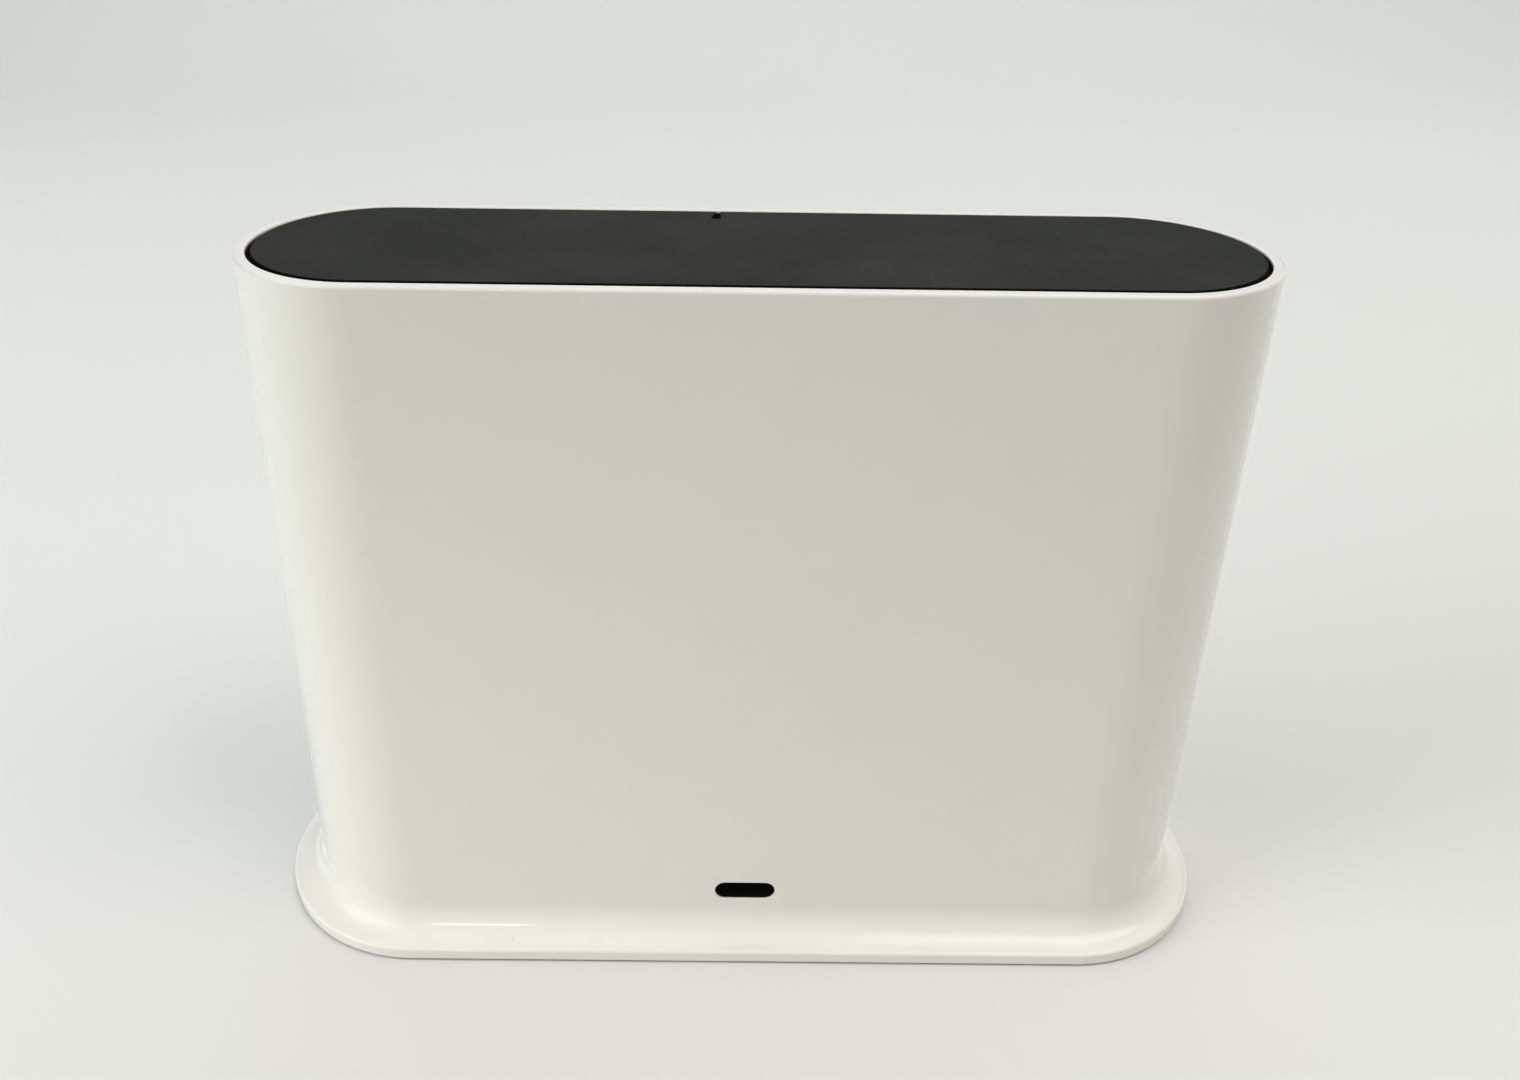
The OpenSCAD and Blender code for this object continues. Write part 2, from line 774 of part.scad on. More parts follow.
module net_contacts() {
    start = mouth - 3;
    end = mouth - 10;
    dip = 2;
    color("gold") for (i = [0 : net_contact_count - 1])
        translate([net_x + (i - (net_contact_count - 1) / 2) * net_contact_pitch - net_contact_t / 2, 0, 0])
            rotate([90, 0, 90]) linear_extrude(net_contact_t)
                polygon([[start, plug_high], [end, plug_high], [end, plug_high - net_contact_t],
                    [start - 1, plug_high - net_contact_t], [end + 1, plug_high - dip],
                    [end + 1, plug_high - dip - net_contact_t], [start, plug_high - net_contact_t]]);
}

module power_socket() {
    half = power_w / 2;
    nose_l = 3.4;
    step = 0.6;
    color("black") translate([power_x, 0, 0]) difference() {
        union() {
            block([-half, mouth - nose_l, port_top], [half, mouth, port_top + power_h]);
            block([-half + step, power_back, port_top],
                [half - step, mouth - root_d, port_top + power_h - step]);
        }
        bar_y(barrel_r, barrel_floor, mouth + past, 0, barrel_z);
        bar_y(root_r + bore_gap, power_back - past, mouth, 0, barrel_z);
        block([-leaf_w / 2 - fit_gap, barrel_floor, port_top - past],
            [leaf_w / 2 + fit_gap, mouth - nose_l, barrel_z]);
    }
}

module power_pin() {
    color("silver") {
        bar_y(pin_r, power_back, tip_y, power_x, barrel_z);
        bar_y(root_r, power_back - root_d, barrel_floor, power_x, barrel_z);
        translate([power_x, 0, 0])
            block([-root_r, power_back - pin_r, port_top], [root_r, power_back, barrel_z + root_r]);
    }
}

module power_leaf() {
    near = barrel_floor + 1;
    far = mouth - 4.4;
    low = port_top;
    high = barrel_z - barrel_r - leaf_t;
    color("silver") translate([power_x - leaf_w / 2, 0, 0]) rotate([90, 0, 90]) linear_extrude(leaf_w)
        polygon([[near, low], [near + leaf_t, low], [near + leaf_t, high - leaf_t], [far, high - leaf_t],
            [far, high], [near, high]]);
}

module card_tray() {
    half = card_w / 2 - card_sheet - bore_gap;
    color("black") translate([card_x, 0, 0]) difference() {
        block([-half, card_back, port_top], [half, card_mouth, card_top - bore_gap]);
        block([-card_slot_w / 2, card_back + card_back_t, port_top + card_floor],
            [card_slot_w / 2, card_mouth + past, card_top + past]);
    }
}

module card_cover() {
    half = card_w / 2;
    color("lightgray") translate([card_x, 0, 0]) difference() {
        block([-half, card_back, port_top], [half, card_mouth, card_top + card_sheet]);
        block([-half + card_sheet, card_back - past, port_top - past],
            [half - card_sheet, card_mouth + past, card_top]);
    }
}

module card_slider() {
    half = card_slot_w / 2 - slide_gap;
    bar_w = 1.5;
    bar_l = 5;
    color("dimgray") translate([card_x, 0, 0]) {
        block([-half, slider_rear, slider_low], [half, slider_rear + slider_l, slider_high]);
        block([half - bar_w, slider_rear, slider_low], [half, slider_rear + bar_l, slider_high]);
    }
}

module card_contacts() {
    strip_w = 0.6;
    near = card_mouth - 3;
    far = card_mouth - 8;
    color("gold") for (i = [0 : card_contact_count - 1])
        translate([card_x + (i - (card_contact_count - 1) / 2) * card_contact_pitch, 0, 0])
            block([-strip_w / 2, far, port_top + card_floor],
                [strip_w / 2, near, port_top + card_floor + card_contact_t]);
}

// Buttons and their switches

module switch_case(x, face) {
    color("black") translate([x, 0, 0]) difference() {
        block([-switch_w / 2, face - switch_d, port_top], [switch_w / 2, face, port_top + switch_h]);
        bar_y(plunger_r + slide_gap, face - switch_d / 2, face + past, 0, switch_z);
    }
}

module sync_button() {
    tip_round = 0.4;
    front = panel_out + sync_proud - sync_back;
    color("whitesmoke") translate([sync_x, sync_back, switch_z]) rotate([-90, 0, 0]) rotate_extrude() {
        square([sync_r, front - tip_round]);
        square([sync_r - tip_round, front]);
        translate([sync_r - tip_round, front - tip_round]) circle(r = tip_round);
        square([sync_r + sync_flange, sync_flange_t]);
    }
}

module sync_plunger() {
    back = sync_switch_face - switch_d / 2 + sync_travel + slide_gap;
    color("dimgray") bar_y(plunger_r, back, sync_back, sync_x, switch_z);
}

module sync_switch() {
    switch_case(sync_x, sync_switch_face);
}

module reset_plunger() {
    back = reset_switch_face - switch_d / 2 + reset_travel + slide_gap;
    color("dimgray") bar_y(plunger_r, back, reset_switch_face + reset_plunger_l, reset_x, switch_z);
}

module reset_switch() {
    switch_case(reset_x, reset_switch_face);
}

// Power and network parts

module filter_capacitors() {
    can_r = 3.15;
    can_h = 9;
    pitch = 7;
    y = power_back - 2.6 - can_r;
    color("midnightblue") for (i = [0, 1])
        translate([power_x - i * pitch, y, port_top]) cylinder(r = can_r, h = can_h);
}

module power_inductors() {
    side = 6.4;
    height = 3.6;
    round = 1.2;
    pitch = 7;
    color("darkslategray") for (i = [0, 1])
        translate([reset_x - 3 + i * pitch, port_front + 10, port_top])
            linear_extrude(height) round_rect([0, 0], [side, side], round);
}

module line_transformer() {
    w = 8.6;
    l = 15.5;
    h = 5.6;
    left = net_x - net_w / 2 - 0.8 - w;
    color("black") block([left, port_rear - 1 - l, port_top], [left + w, port_rear - 1, port_top + h]);
}

module edge_connector() {
    slot_gap = 0.15;
    color("ivory") difference() {
        block([-link_w / 2, link_y - link_d / 2, port_top],
            [link_w / 2, link_y + link_d / 2, port_top + link_h]);
        block([-tongue_w / 2 - slot_gap, main_front - slot_gap, main_low - tongue_h],
            [tongue_w / 2 + slot_gap, main_rear + slot_gap, port_top + link_h + past]);
    }
}

// Carrier and main board

module carrier_outline() {
    inner_half = carrier_half - rail_w;
    difference() {
        translate([-carrier_half, base_top]) square([2 * carrier_half, carrier_top - base_top]);
        translate([-inner_half, base_top - past]) square([2 * inner_half, sill_low - base_top + past]);
        for (s = [0, 1]) mirror([s, 0]) {
            low = sill_low + cross_w;
            bay = [inner_half - cross_w / 2, carrier_top - cross_w - low];
            round_rect([cross_w / 2, low], bay, cross_w / 2);
        }
    }
}

module carrier_stakes(along) {
    for (s = [-1, 1]) translate(s * along) children();
}

module carrier() {
    rib_w = 1.6;
    side_low = aerial_mid - aerial_h / 2;
    side_high = aerial_mid + aerial_h / 2;
    top_half = top_aerial_l / 2;
    color("gray") difference() {
        union() {
            plate_y(carrier_front, carrier_rear) carrier_outline();
            for (sx = [-1, 1], z = [main_low + hole_inset, main_top - hole_inset])
                bar_y(post_r, carrier_rear - root_d, main_front, sx * hole_x, z);
            for (s = [0, 1]) mirror([s, 0, 0]) {
                block([carrier_half - carrier_t, carrier_front, side_low],
                    [carrier_half, arm_end, side_high]);
                block([carrier_half - rail_w, carrier_front, base_top],
                    [carrier_half, carrier_front + carrier_foot_d, base_top + carrier_foot_h]);
                block([carrier_half - rail_w, carrier_front - carrier_rib, sill_low],
                    [carrier_half - rail_w + rib_w, carrier_rear, carrier_top]);
                translate([carrier_half - root_d, stake_y, aerial_mid])
                    carrier_stakes([0, 0, aerial_h / 2 - stake_inset])
                        rotate([0, 90, 0]) cylinder(r = stake_r, h = aerial_t + root_d);
            }
            block([-top_half, carrier_front, carrier_top - carrier_t], [top_half, arm_end, carrier_top]);
            translate([0, stake_y, carrier_top - root_d]) carrier_stakes([top_half - stake_inset, 0, 0])
                cylinder(r = stake_r, h = aerial_t + root_d);
        }
        for (sx = [-1, 1], z = [main_low + hole_inset, main_top - hole_inset])
            bar_y(tap_r + bore_gap, carrier_rear, main_front + past, sx * hole_x, z);
        for (s = [-1, 1]) translate([s * carrier_screw_x, carrier_screw_y, base_top - past])
            cylinder(r = boss_bore_r, h = carrier_foot_h - tap_spare + past);
    }
}

module main_board() {
    hole_r = tap_r + fit_gap;
    color("darkgreen") plate_y(main_front, main_rear) difference() {
        union() {
            round_rect([-main_w / 2, main_low], [main_w, main_h], hole_inset / 2);
            translate([-tongue_w / 2, main_low - tongue_h + fit_gap]) square([tongue_w, tongue_h]);
        }
        for (sx = [-1, 1], z = [main_low + hole_inset, main_top - hole_inset])
            translate([sx * hole_x, z]) circle(r = hole_r);
        for (sx = [-1, 1], sz = [-1, 1])
            translate([sx * sink_screw_x, chip_z + sz * sink_screw_z]) circle(r = hole_r);
    }
}

module main_board_screws() {
    color("silver") for (sx = [-1, 1], z = [main_low + hole_inset, main_top - hole_inset])
        translate([sx * hole_x, main_rear, z]) rotate([-90, 0, 0])
            pan_screw(board_t + standoff_h - tap_spare);
}

module processor() {
    color("black") translate([-chip_w / 2, main_rear, chip_z - chip_w / 2]) cube([chip_w, chip_t, chip_w]);
}

module memory_chips() {
    left = chip_w / 2 + memory_gap;
    color("black") for (s = [0, 1])
        mirror([s, 0, 0]) translate([left, main_rear, chip_z - memory_size[2] / 2]) cube(memory_size);
}

module thermal_pad() {
    color("lightblue") translate([-chip_w / 2, main_rear + chip_t, chip_z - chip_w / 2])
        cube([chip_w, thermal_t, chip_w]);
}

module heat_sink() {
    low = chip_z - sink_h / 2;
    base_rear = pad_rear + sink_t;
    fin_step = (sink_w - fin_t) / (fin_count - 1);
    color("silver") difference() {
        union() {
            block([-sink_w / 2, pad_rear, low], [sink_w / 2, base_rear, sink_top]);
            for (i = [0 : fin_count - 1]) translate([-sink_w / 2 + i * fin_step, 0, 0])
                block([0, pad_rear, low], [fin_t, base_rear + fin_d, sink_top]);
            for (sx = [-1, 1], sz = [-1, 1])
                bar_y(sink_boss_r, main_rear, pad_rear + root_d, sx * sink_screw_x,
                    chip_z + sz * sink_screw_z);
        }
        for (sx = [-1, 1], sz = [-1, 1])
            bar_y(tap_r + bore_gap, main_rear - past, base_rear - sink_skin, sx * sink_screw_x,
                chip_z + sz * sink_screw_z);
    }
}

module heat_sink_screws() {
    grip = board_t + chip_t + thermal_t + sink_t - sink_skin - tap_spare;
    color("silver") for (sx = [-1, 1], sz = [-1, 1])
        translate([sx * sink_screw_x, main_front, chip_z + sz * sink_screw_z])
            rotate([90, 0, 0]) pan_screw(grip);
}

module radio_shields() {
    color("lightgray") for (i = [-1 : 1]) translate([i * shield_pitch, main_front, shield_z]) difference() {
        block([-shield_w / 2, -shield_d, -shield_h / 2], [shield_w / 2, 0, shield_h / 2]);
        block([-shield_w / 2 + shield_sheet, -shield_d + shield_sheet, -shield_h / 2 + shield_sheet],
            [shield_w / 2 - shield_sheet, past, shield_h / 2 - shield_sheet]);
    }
}

// Aerials and their leads

module side_aerial() {
    difference() {
        block([carrier_half, aerial_y, aerial_mid - aerial_h / 2],
            [carrier_half + aerial_t, aerial_y + aerial_w, aerial_mid + aerial_h / 2]);
        translate([carrier_half - past, stake_y, aerial_mid])
            carrier_stakes([0, 0, aerial_h / 2 - stake_inset])
            rotate([0, 90, 0]) cylinder(r = stake_r + bore_gap, h = aerial_t + 2 * past);
    }
}

module left_aerial() {
    color("seagreen") mirror([1, 0, 0]) side_aerial();
}

module right_aerial() {
    color("seagreen") side_aerial();
}

module top_aerial() {
    half = top_aerial_l / 2;
    color("seagreen") difference() {
        block([-half, aerial_y, carrier_top], [half, aerial_y + aerial_w, carrier_top + aerial_t]);
        translate([0, stake_y, carrier_top - past]) carrier_stakes([half - stake_inset, 0, 0])
            cylinder(r = stake_r + bore_gap, h = aerial_t + 2 * past);
    }
}

module lead_plugs() {
    color("gold") for (x = [-side_lead_x, top_lead_x, side_lead_x])
        bar_y(plug_r, main_rear, main_rear + plug_l_out, x, lead_z);
}

function unit(v) = v / norm(v);
function curve_point(p, t) =
    pow(1 - t, 3) * p[0] + 3 * pow(1 - t, 2) * t * p[1] + 3 * (1 - t) * t * t * p[2] + pow(t, 3) * p[3];
function curve_heading(p, t) =
    unit(pow(1 - t, 2) * (p[1] - p[0]) + 2 * (1 - t) * t * (p[2] - p[1]) + t * t * (p[3] - p[2]));

// A thin lead along a smooth curve that leaves and arrives straight; across is square to its first heading
module lead(p, across) {
    rings = [for (i = [0 : lead_steps]) let (
        t = i / lead_steps,
        heading = curve_heading(p, t),
        side = unit(cross(heading, across)),
        up = cross(side, heading))
        [for (k = [0 : lead_sides - 1]) let (turn = 360 * k / lead_sides)
            curve_point(p, t) + coax_d / 2 * (cos(turn) * side + sin(turn) * up)]];
    points = [for (ring = rings) each ring];
    skin = [for (i = [0 : lead_steps - 1], k = [0 : lead_sides - 1]) let (
        a = i * lead_sides + k,
        b = i * lead_sides + (k + 1) % lead_sides)
        each [[a, b, b + lead_sides], [a, b + lead_sides, a + lead_sides]]];
    last = lead_steps * lead_sides;
    caps = [[for (k = [lead_sides - 1 : -1 : 0]) k], [for (k = [0 : lead_sides - 1]) last + k]];
    polyhedron(points, concat(skin, caps));
}

module side_lead() {
    start = [carrier_half, arm_end + lead_exit, aerial_mid + aerial_h / 4];
    end = [side_lead_x, main_rear + plug_l_out, lead_z];
    lead([start, start - [lead_reach, 0, 0], end + [0, lead_reach, 0], end], [0, 0, 1]);
}

module left_lead() {
    color("black") mirror([1, 0, 0]) side_lead();
}

module right_lead() {
    color("black") side_lead();
}

module top_lead() {
    start = [top_lead_x, arm_end + lead_exit, carrier_top];
    end = [top_lead_x, main_rear + plug_l_out, lead_z];
    color("black") lead([start, start - [0, 0, lead_reach], end + [0, lead_reach, 0], end], [1, 0, 0]);
}

outer_shell();
top_cover();
base_plate();
foot_pads();
base_screws();
light_window();
light_guide();
status_leds();
port_panel();
port_board();
port_board_screws();
net_can();
net_insert();
net_contacts();
power_socket();
power_pin();
power_leaf();
card_tray();
card_cover();
card_slider();
card_contacts();
sync_button();
sync_plunger();
sync_switch();
reset_plunger();
reset_switch();
filter_capacitors();
power_inductors();
line_transformer();
edge_connector();
carrier();
main_board();
main_board_screws();
processor();
memory_chips();
thermal_pad();
heat_sink();
heat_sink_screws();
radio_shields();
left_aerial();
right_aerial();
top_aerial();
lead_plugs();
left_lead();
right_lead();
top_lead();
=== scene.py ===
"""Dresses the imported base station: modelled skins, procedural finishes, a pale stage and the camera."""
import math
from types import SimpleNamespace

import bmesh
import bpy
import numpy as np
from bpy.props import FloatProperty, FloatVectorProperty, IntProperty, PointerProperty
from mathutils import Matrix, Vector


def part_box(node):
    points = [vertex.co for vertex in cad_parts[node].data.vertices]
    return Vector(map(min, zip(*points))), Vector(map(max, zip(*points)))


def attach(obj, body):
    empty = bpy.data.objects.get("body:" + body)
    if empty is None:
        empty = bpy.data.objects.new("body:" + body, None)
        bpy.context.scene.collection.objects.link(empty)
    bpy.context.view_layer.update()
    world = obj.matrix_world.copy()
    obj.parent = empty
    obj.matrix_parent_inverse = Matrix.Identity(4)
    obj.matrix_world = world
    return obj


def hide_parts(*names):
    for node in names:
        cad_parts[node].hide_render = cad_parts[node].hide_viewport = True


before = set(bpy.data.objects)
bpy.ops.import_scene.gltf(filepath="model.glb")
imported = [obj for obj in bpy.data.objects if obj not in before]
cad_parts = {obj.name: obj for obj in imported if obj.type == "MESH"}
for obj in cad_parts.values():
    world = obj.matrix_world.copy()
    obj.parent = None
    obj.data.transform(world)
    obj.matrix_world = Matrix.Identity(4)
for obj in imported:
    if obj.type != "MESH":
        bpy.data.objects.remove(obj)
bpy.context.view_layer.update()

bl_info = {
    "name": "Camera base station",
    "version": (1, 0, 0),
    "blender": (4, 5, 0),
    "location": "View3D > Sidebar > Base station",
    "description": "Dresses an upright base station for wireless cameras",
    "category": "Object",
}

STATION = "station"
SYNC_KEY = "sync_key"

# Edges sharper than this stay sharp, and points nearer than this are one
SHARP_ANGLE = math.radians(32)
MERGE_DIST = 1e-7
SLIVER_DIST = 1e-8

# Cells across and up that the wall gives to a hole, how many half heights the window's cells reach, and
# heights of more points up the wall
WINDOW_CELLS = (24, 12)
PORT_CELLS = (64, 28)
HOLE_REACH = 1.6
WALL_ROWS = np.linspace(0.04, 0.12, 9)

# Columns of the cover and rings inside its edge, in depths of its notch; points and steps of the small pieces
COVER_COLUMNS = 25
COVER_RINGS = (0.35, 0.7, 1.0, 1.6, 3.0)
LENS_POINTS, LENS_STEPS = 7, 32
DISH_POINTS, BUTTON_STEPS = 9, 36
PAD_STEPS = 48
FOLD_STEPS = 14
RUN_POINTS = 6
WIRE_SIDES = 12

# Finishes: most of a noise's range, where the painted black shade inside the sleeve fades out,
# and the scuffs' turns and stretches
FINISH_TAIL = "_finish"
NOISE_SPAN = (0.3, 0.7)
PAINTED_SHADE_NEAR, PAINTED_SHADE_FAR, PAINTED_SHADE_FADE = 0.00002, 0.00008, 0.00005
SCUFF_SETS = (((0.3, 0.2, 0.7), (22.0, 1.0, 22.0)), ((0.9, 0.4, -0.5), (1.0, 26.0, 26.0)))

# Stage: the paper's extent, the surround's dim side and the camera
PAPER_FRONT, PAPER_HALF, PAPER_TOP = 0.70, 0.95, 1.6
PAPER_STEPS = 24
SHEET_BLUR = 0.006
DIM_SIDE = (-0.75, 0.45, 0.48)
DIM_SPAN = (0.62, 0.90)
IMAGE_W = 1520
CLIP_SPAN = (0.01, 20.0)


# Properties

def length(name, text, default):
    """A length in metres."""
    return FloatProperty(name=name, description=text, default=default, min=0.0, unit="LENGTH", precision=5)


def angle(name, text, default):
    """An angle in radians."""
    return FloatProperty(name=name, description=text, default=default, subtype="ANGLE", precision=4)


def share(name, text, default):
    """A plain number from 0 to 1."""
    return FloatProperty(name=name, description=text, default=default, min=0.0, max=1.0, subtype="FACTOR")


def level(name, text, default):
    """A plain strength."""
    return FloatProperty(name=name, description=text, default=default, min=0.0)


def power(name, text, default):
    """The power of a lamp in watts."""
    return FloatProperty(name=name, description=text, default=default, min=0.0, unit="POWER")


def colour(name, text, default):
    """A linear colour."""
    return FloatVectorProperty(name=name, description=text, default=default, min=0.0, max=1.0,
                               size=3, subtype="COLOR")


def place(name, text, default):
    """A point in metres."""
    return FloatVectorProperty(name=name, description=text, default=default, size=3, subtype="XYZ",
                               unit="LENGTH")


def whole(name, text, default, least):
    """A whole number."""
    return IntProperty(name=name, description=text, default=default, min=least)


class SleeveSizes(bpy.types.PropertyGroup):
    """Sizes of the moulded sleeve that its box in the frame doesn't give."""
    flare: length("Flare", "How far the foot reaches past the sleeve", 0.006)
    wall: length("Wall", "Wall of the sleeve", 0.0019)
    rim_round: length("Rim rounding", "Rounding of the rim's outer edge", 0.0006)
    lip_round: length("Lip rounding", "Rounding of the rim's inner edge", 0.0003)
    # where the painted black shade inside the sleeve starts, below the rim
    coat_drop: length("Coat drop", "How far below the rim the dark inner coat starts", 0.00045)
    edge_h: length("Foot edge", "Height of the upright edge of the foot", 0.0024)
    edge_round: length("Foot rounding", "Rounding of the foot's upper edge", 0.0006)
    under_round: length("Under rounding", "Rounding of the foot's lower edge", 0.0003)
    foot_lip: length("Foot lip", "Width of the underside round the base plate", 0.0034)
    base_t: length("Base plate", "Thickness of the base plate", 0.0019)
    ledge_w: length("Ledge width", "Width of the ledge under the top cover", 0.0022)
    ledge_t: length("Ledge thickness", "Thickness of that ledge", 0.0018)
    hole_round: length("Hole rounding", "Rounding round the window and the port opening", 0.00015)
    port_lap: length("Port lap", "Overlap of the port panel behind the opening", 0.004)
    port_low: length("Port sill", "Height of the port opening's lower edge", 0.0089)
    port_round: length("Port corners", "Rounding of the port opening's corners", 0.003)
    end_steps: whole("End steps", "Facets round each end", 96, 12)
    arc_steps: whole("Arc steps", "Facets round each small edge", 8, 3)
    sweep_steps: whole("Sweep steps", "Facets down the foot's sweep", 32, 8)


class FittingSizes(bpy.types.PropertyGroup):
    """Sizes of the cover, the window, the button, the pads and the contact wires."""
    cover_t: length("Cover", "Thickness of the top cover", 0.0019)
    cover_round: length("Cover rounding", "Rounding of the top cover's upper edge", 0.0002)
    notch_w: length("Notch width", "Width of the release notch", 0.0017)
    notch_d: length("Notch depth", "Depth of the release notch", 0.0044)
    notch_lean: length("Notch lean", "How far the notch's left side leans", 0.0009)
    notch_x: FloatProperty(name="Notch place", description="Place of the notch along the rear edge",
                           default=-0.0069, unit="LENGTH", precision=5)
    light_flange: length("Window flange", "Flange of the light window inside the wall", 0.0012)
    light_flange_t: length("Flange thickness", "Thickness of that flange", 0.001)
    light_gap: length("Window gap", "Gap round the light window in its hole", 0.0001)
    light_crown: length("Window crown", "Crown of the light window", 0.00015)
    sync_flange: length("Button flange", "Flange of the sync button", 0.0009)
    sync_flange_t: length("Flange depth", "Thickness of that flange", 0.001)
    sync_round: length("Button rounding", "Rounding of the button's rim", 0.0004)
    sync_dish: length("Button dish", "Depth of the button's finger dish", 0.0002)
    pad_r: length("Pad", "Radius of a rubber pad", 0.005)
    pad_round: length("Pad rounding", "Rounding of a rubber pad's lower edge", 0.00035)
    wire_count: whole("Wires", "Number of network contact wires", 8, 1)
    wire_r: length("Contact wire", "Radius of a network contact wire", 0.000175)
    wire_fold: length("Wire fold", "Radius of a contact wire's fold", 0.0004)
    wire_tip: length("Wire tip", "How far a wire's free end stops short of its fixed end", 0.001)


class FinishColours(bpy.types.PropertyGroup):
    """Colours of the finishes."""
    white: colour("Gloss white", "Sleeve", (0.87, 0.865, 0.83))
    cream: colour("Cream drift", "Slow drift in the sleeve's white", (0.86, 0.85, 0.81))
    # painted shade: near black painted inside the sleeve and on the top cover's edge, so the gap round the
    # cover looks dark
    coat: colour("Dark coat", "Coat inside the sleeve and edge of the top cover", (0.0015, 0.0015, 0.0015))
    charcoal: colour("Charcoal", "Top cover and port panel", (0.0180, 0.0192, 0.0182))
    charcoal_light: colour("Charcoal fleck", "Lighter flecks in the charcoal", (0.026, 0.0275, 0.0255))
    base_grey: colour("Base grey", "Base plate", (0.56, 0.56, 0.54))
    rubber: colour("Rubber", "Foot pads", (0.035, 0.035, 0.037))
    black: colour("Socket black", "Socket bodies and switches", (0.012, 0.012, 0.013))
    dust: colour("Dust", "Dust that settles on upward faces", (0.55, 0.53, 0.48))
    steel: colour("Steel", "Screws", (0.60, 0.60, 0.61))
    tin: colour("Tin", "Socket can and radio shields", (0.66, 0.66, 0.65))
    gold: colour("Gold", "Contacts and plugs", (0.83, 0.61, 0.26))
    aluminium: colour("Aluminium", "Heat sink", (0.72, 0.73, 0.75))
    board: colour("Board green", "Circuit boards", (0.010, 0.085, 0.040))
    track: colour("Track green", "Copper tracks under the mask", (0.020, 0.150, 0.070))
    carrier: colour("Carrier grey", "Carrier frame", (0.20, 0.20, 0.20))
    capacitor: colour("Capacitor blue", "Sleeve of the filter capacitors", (0.012, 0.022, 0.10))
    ivory: colour("Ivory", "Edge connector", (0.72, 0.66, 0.50))
    thermal: colour("Thermal blue", "Thermal pad", (0.30, 0.45, 0.62))
    guide: colour("Clear guide", "Light guide", (0.93, 0.96, 0.98))
    guide_drift: colour("Guide drift", "Slow drift in the light guide", (0.86, 0.92, 0.96))
    led_case: colour("Lamp case", "Case of the status lamps", (0.85, 0.84, 0.78))
    phosphor: colour("Phosphor", "Face of the status lamps", (0.82, 0.70, 0.22))


class StageSettings(bpy.types.PropertyGroup):
    """Camera, floor and lamps."""
    eye: place("Camera", "Place of the camera", (-0.00784, -0.20051, 0.18914))
    yaw: angle("Yaw", "Turn of the camera to the right", 0.0075)
    pitch: angle("Pitch", "Tilt of the camera downwards", 0.4583)
    roll: angle("Roll", "Roll of the camera", -0.0155)
    focal_px: FloatProperty(name="Focal length", description="Focal length in pixels of the image's width",
                            default=1304.58, min=1.0, subtype="PIXEL")
    centre_u: FloatProperty(name="Centre u", description="Optical centre right of the image's middle",
                            default=-43.89, subtype="PIXEL")
    centre_v: FloatProperty(name="Centre v", description="Optical centre below the image's middle",
                            default=-87.27, subtype="PIXEL")
    floor: colour("Floor", "Paper floor and backdrop", (0.755, 0.762, 0.752))
    backdrop: length("Backdrop", "Where the floor starts to rise behind the object", 0.75)
    backdrop_bend: length("Backdrop bend", "Radius of the bend from floor to backdrop", 0.45)
    sky: colour("Surround", "Colour of the soft surround", (0.98, 1.0, 0.985))
    sky_gloss: level("Surround gloss", "How bright the surround is in reflections", 0.9)
    sky_dim: level("Surround dim", "How bright it is in reflections on the left behind the object", 0.2)
    sky_seen: level("Surround seen", "How bright the surround is to the camera", 0.75)
    sheet_reach: length("Sheet reach", "How far in front the floor still throws light back", 0.2757)
    sheet_slant: share("Sheet slant", "Slope of the line where that ends", 0.238)
    past_share: share("Past the sheet", "Share of the floor's colour past that line, to bounced light", 0.4)
    left_power: power("Left lamp", "Large soft lamp at the left", 10.5)
    top_power: power("Top lamp", "Wide soft lamp overhead", 3.42)
    front_power: power("Front lamp", "Weak warm lamp high in front", 2.45)
    right_power: power("Right lamp", "Warm soft lamp high at the right", 6.7)
    far_power: power("Far lamp", "Weak soft lamp at the right, behind the object", 1.75)
    rear_power: power("Rear lamp", "Lamp that lights the backdrop", 8.1)
    card_power: power("Card", "Warm card on the floor in front", 0.028)
    window_shine: power("Window shine", "Pane at the left that gloss mirrors", 2.0)
    ceiling_shine: power("Ceiling shine", "Panel overhead that gloss mirrors", 2.4)
    lamp_shine: power("Lamp shine", "Small lamp in front that gloss mirrors", 0.145)


class StationSettings(bpy.types.PropertyGroup):
    """All settings of the base station."""
    sleeve: PointerProperty(type=SleeveSizes)
    fittings: PointerProperty(type=FittingSizes)
    colours: PointerProperty(type=FinishColours)
    stage: PointerProperty(type=StageSettings)


def settings():
    """The scene's own settings of the base station."""
    return bpy.context.scene.base_station


# Surfaces

def arc(centre, radius, start, end, steps):
    """Points (centre + radius (cos a, sin a)) for angles a from start to end in degrees."""
    a = np.radians(np.linspace(start, end, steps + 1))
    return np.column_stack([centre[0] + radius * np.cos(a), centre[1] + radius * np.sin(a)])


def crowded(low, high, count):
    """Values from low to high, crowded at both ends: the middle plus the half width times sin a."""
    a = np.linspace(-np.pi / 2, np.pi / 2, count + 1)
    return (low + high) / 2 + (high - low) / 2 * np.sin(a)


def stations(half_span, front_x, rear_x, end_steps):
    """Stations round a round-ended plan, anticlockwise from the front's left end.

    Each is a point of the straight spine and the outward direction there: (0, -1) along the front,
    (cos a, sin a) round the right end, (0, 1) along the rear and (-cos a, -sin a) round the left end,
    for a from -90 to 90 degrees.
    """
    a = np.radians(np.linspace(-90, 90, end_steps + 1))[1:-1]
    still = np.ones_like(a)
    x = np.concatenate([front_x, half_span * still, rear_x, -half_span * still])
    out_x = np.concatenate([0 * front_x, np.cos(a), 0 * rear_x, -np.cos(a)])
    out_y = np.concatenate([0 * front_x - 1, np.sin(a), 0 * rear_x + 1, -np.sin(a)])
    return x, out_x, out_y


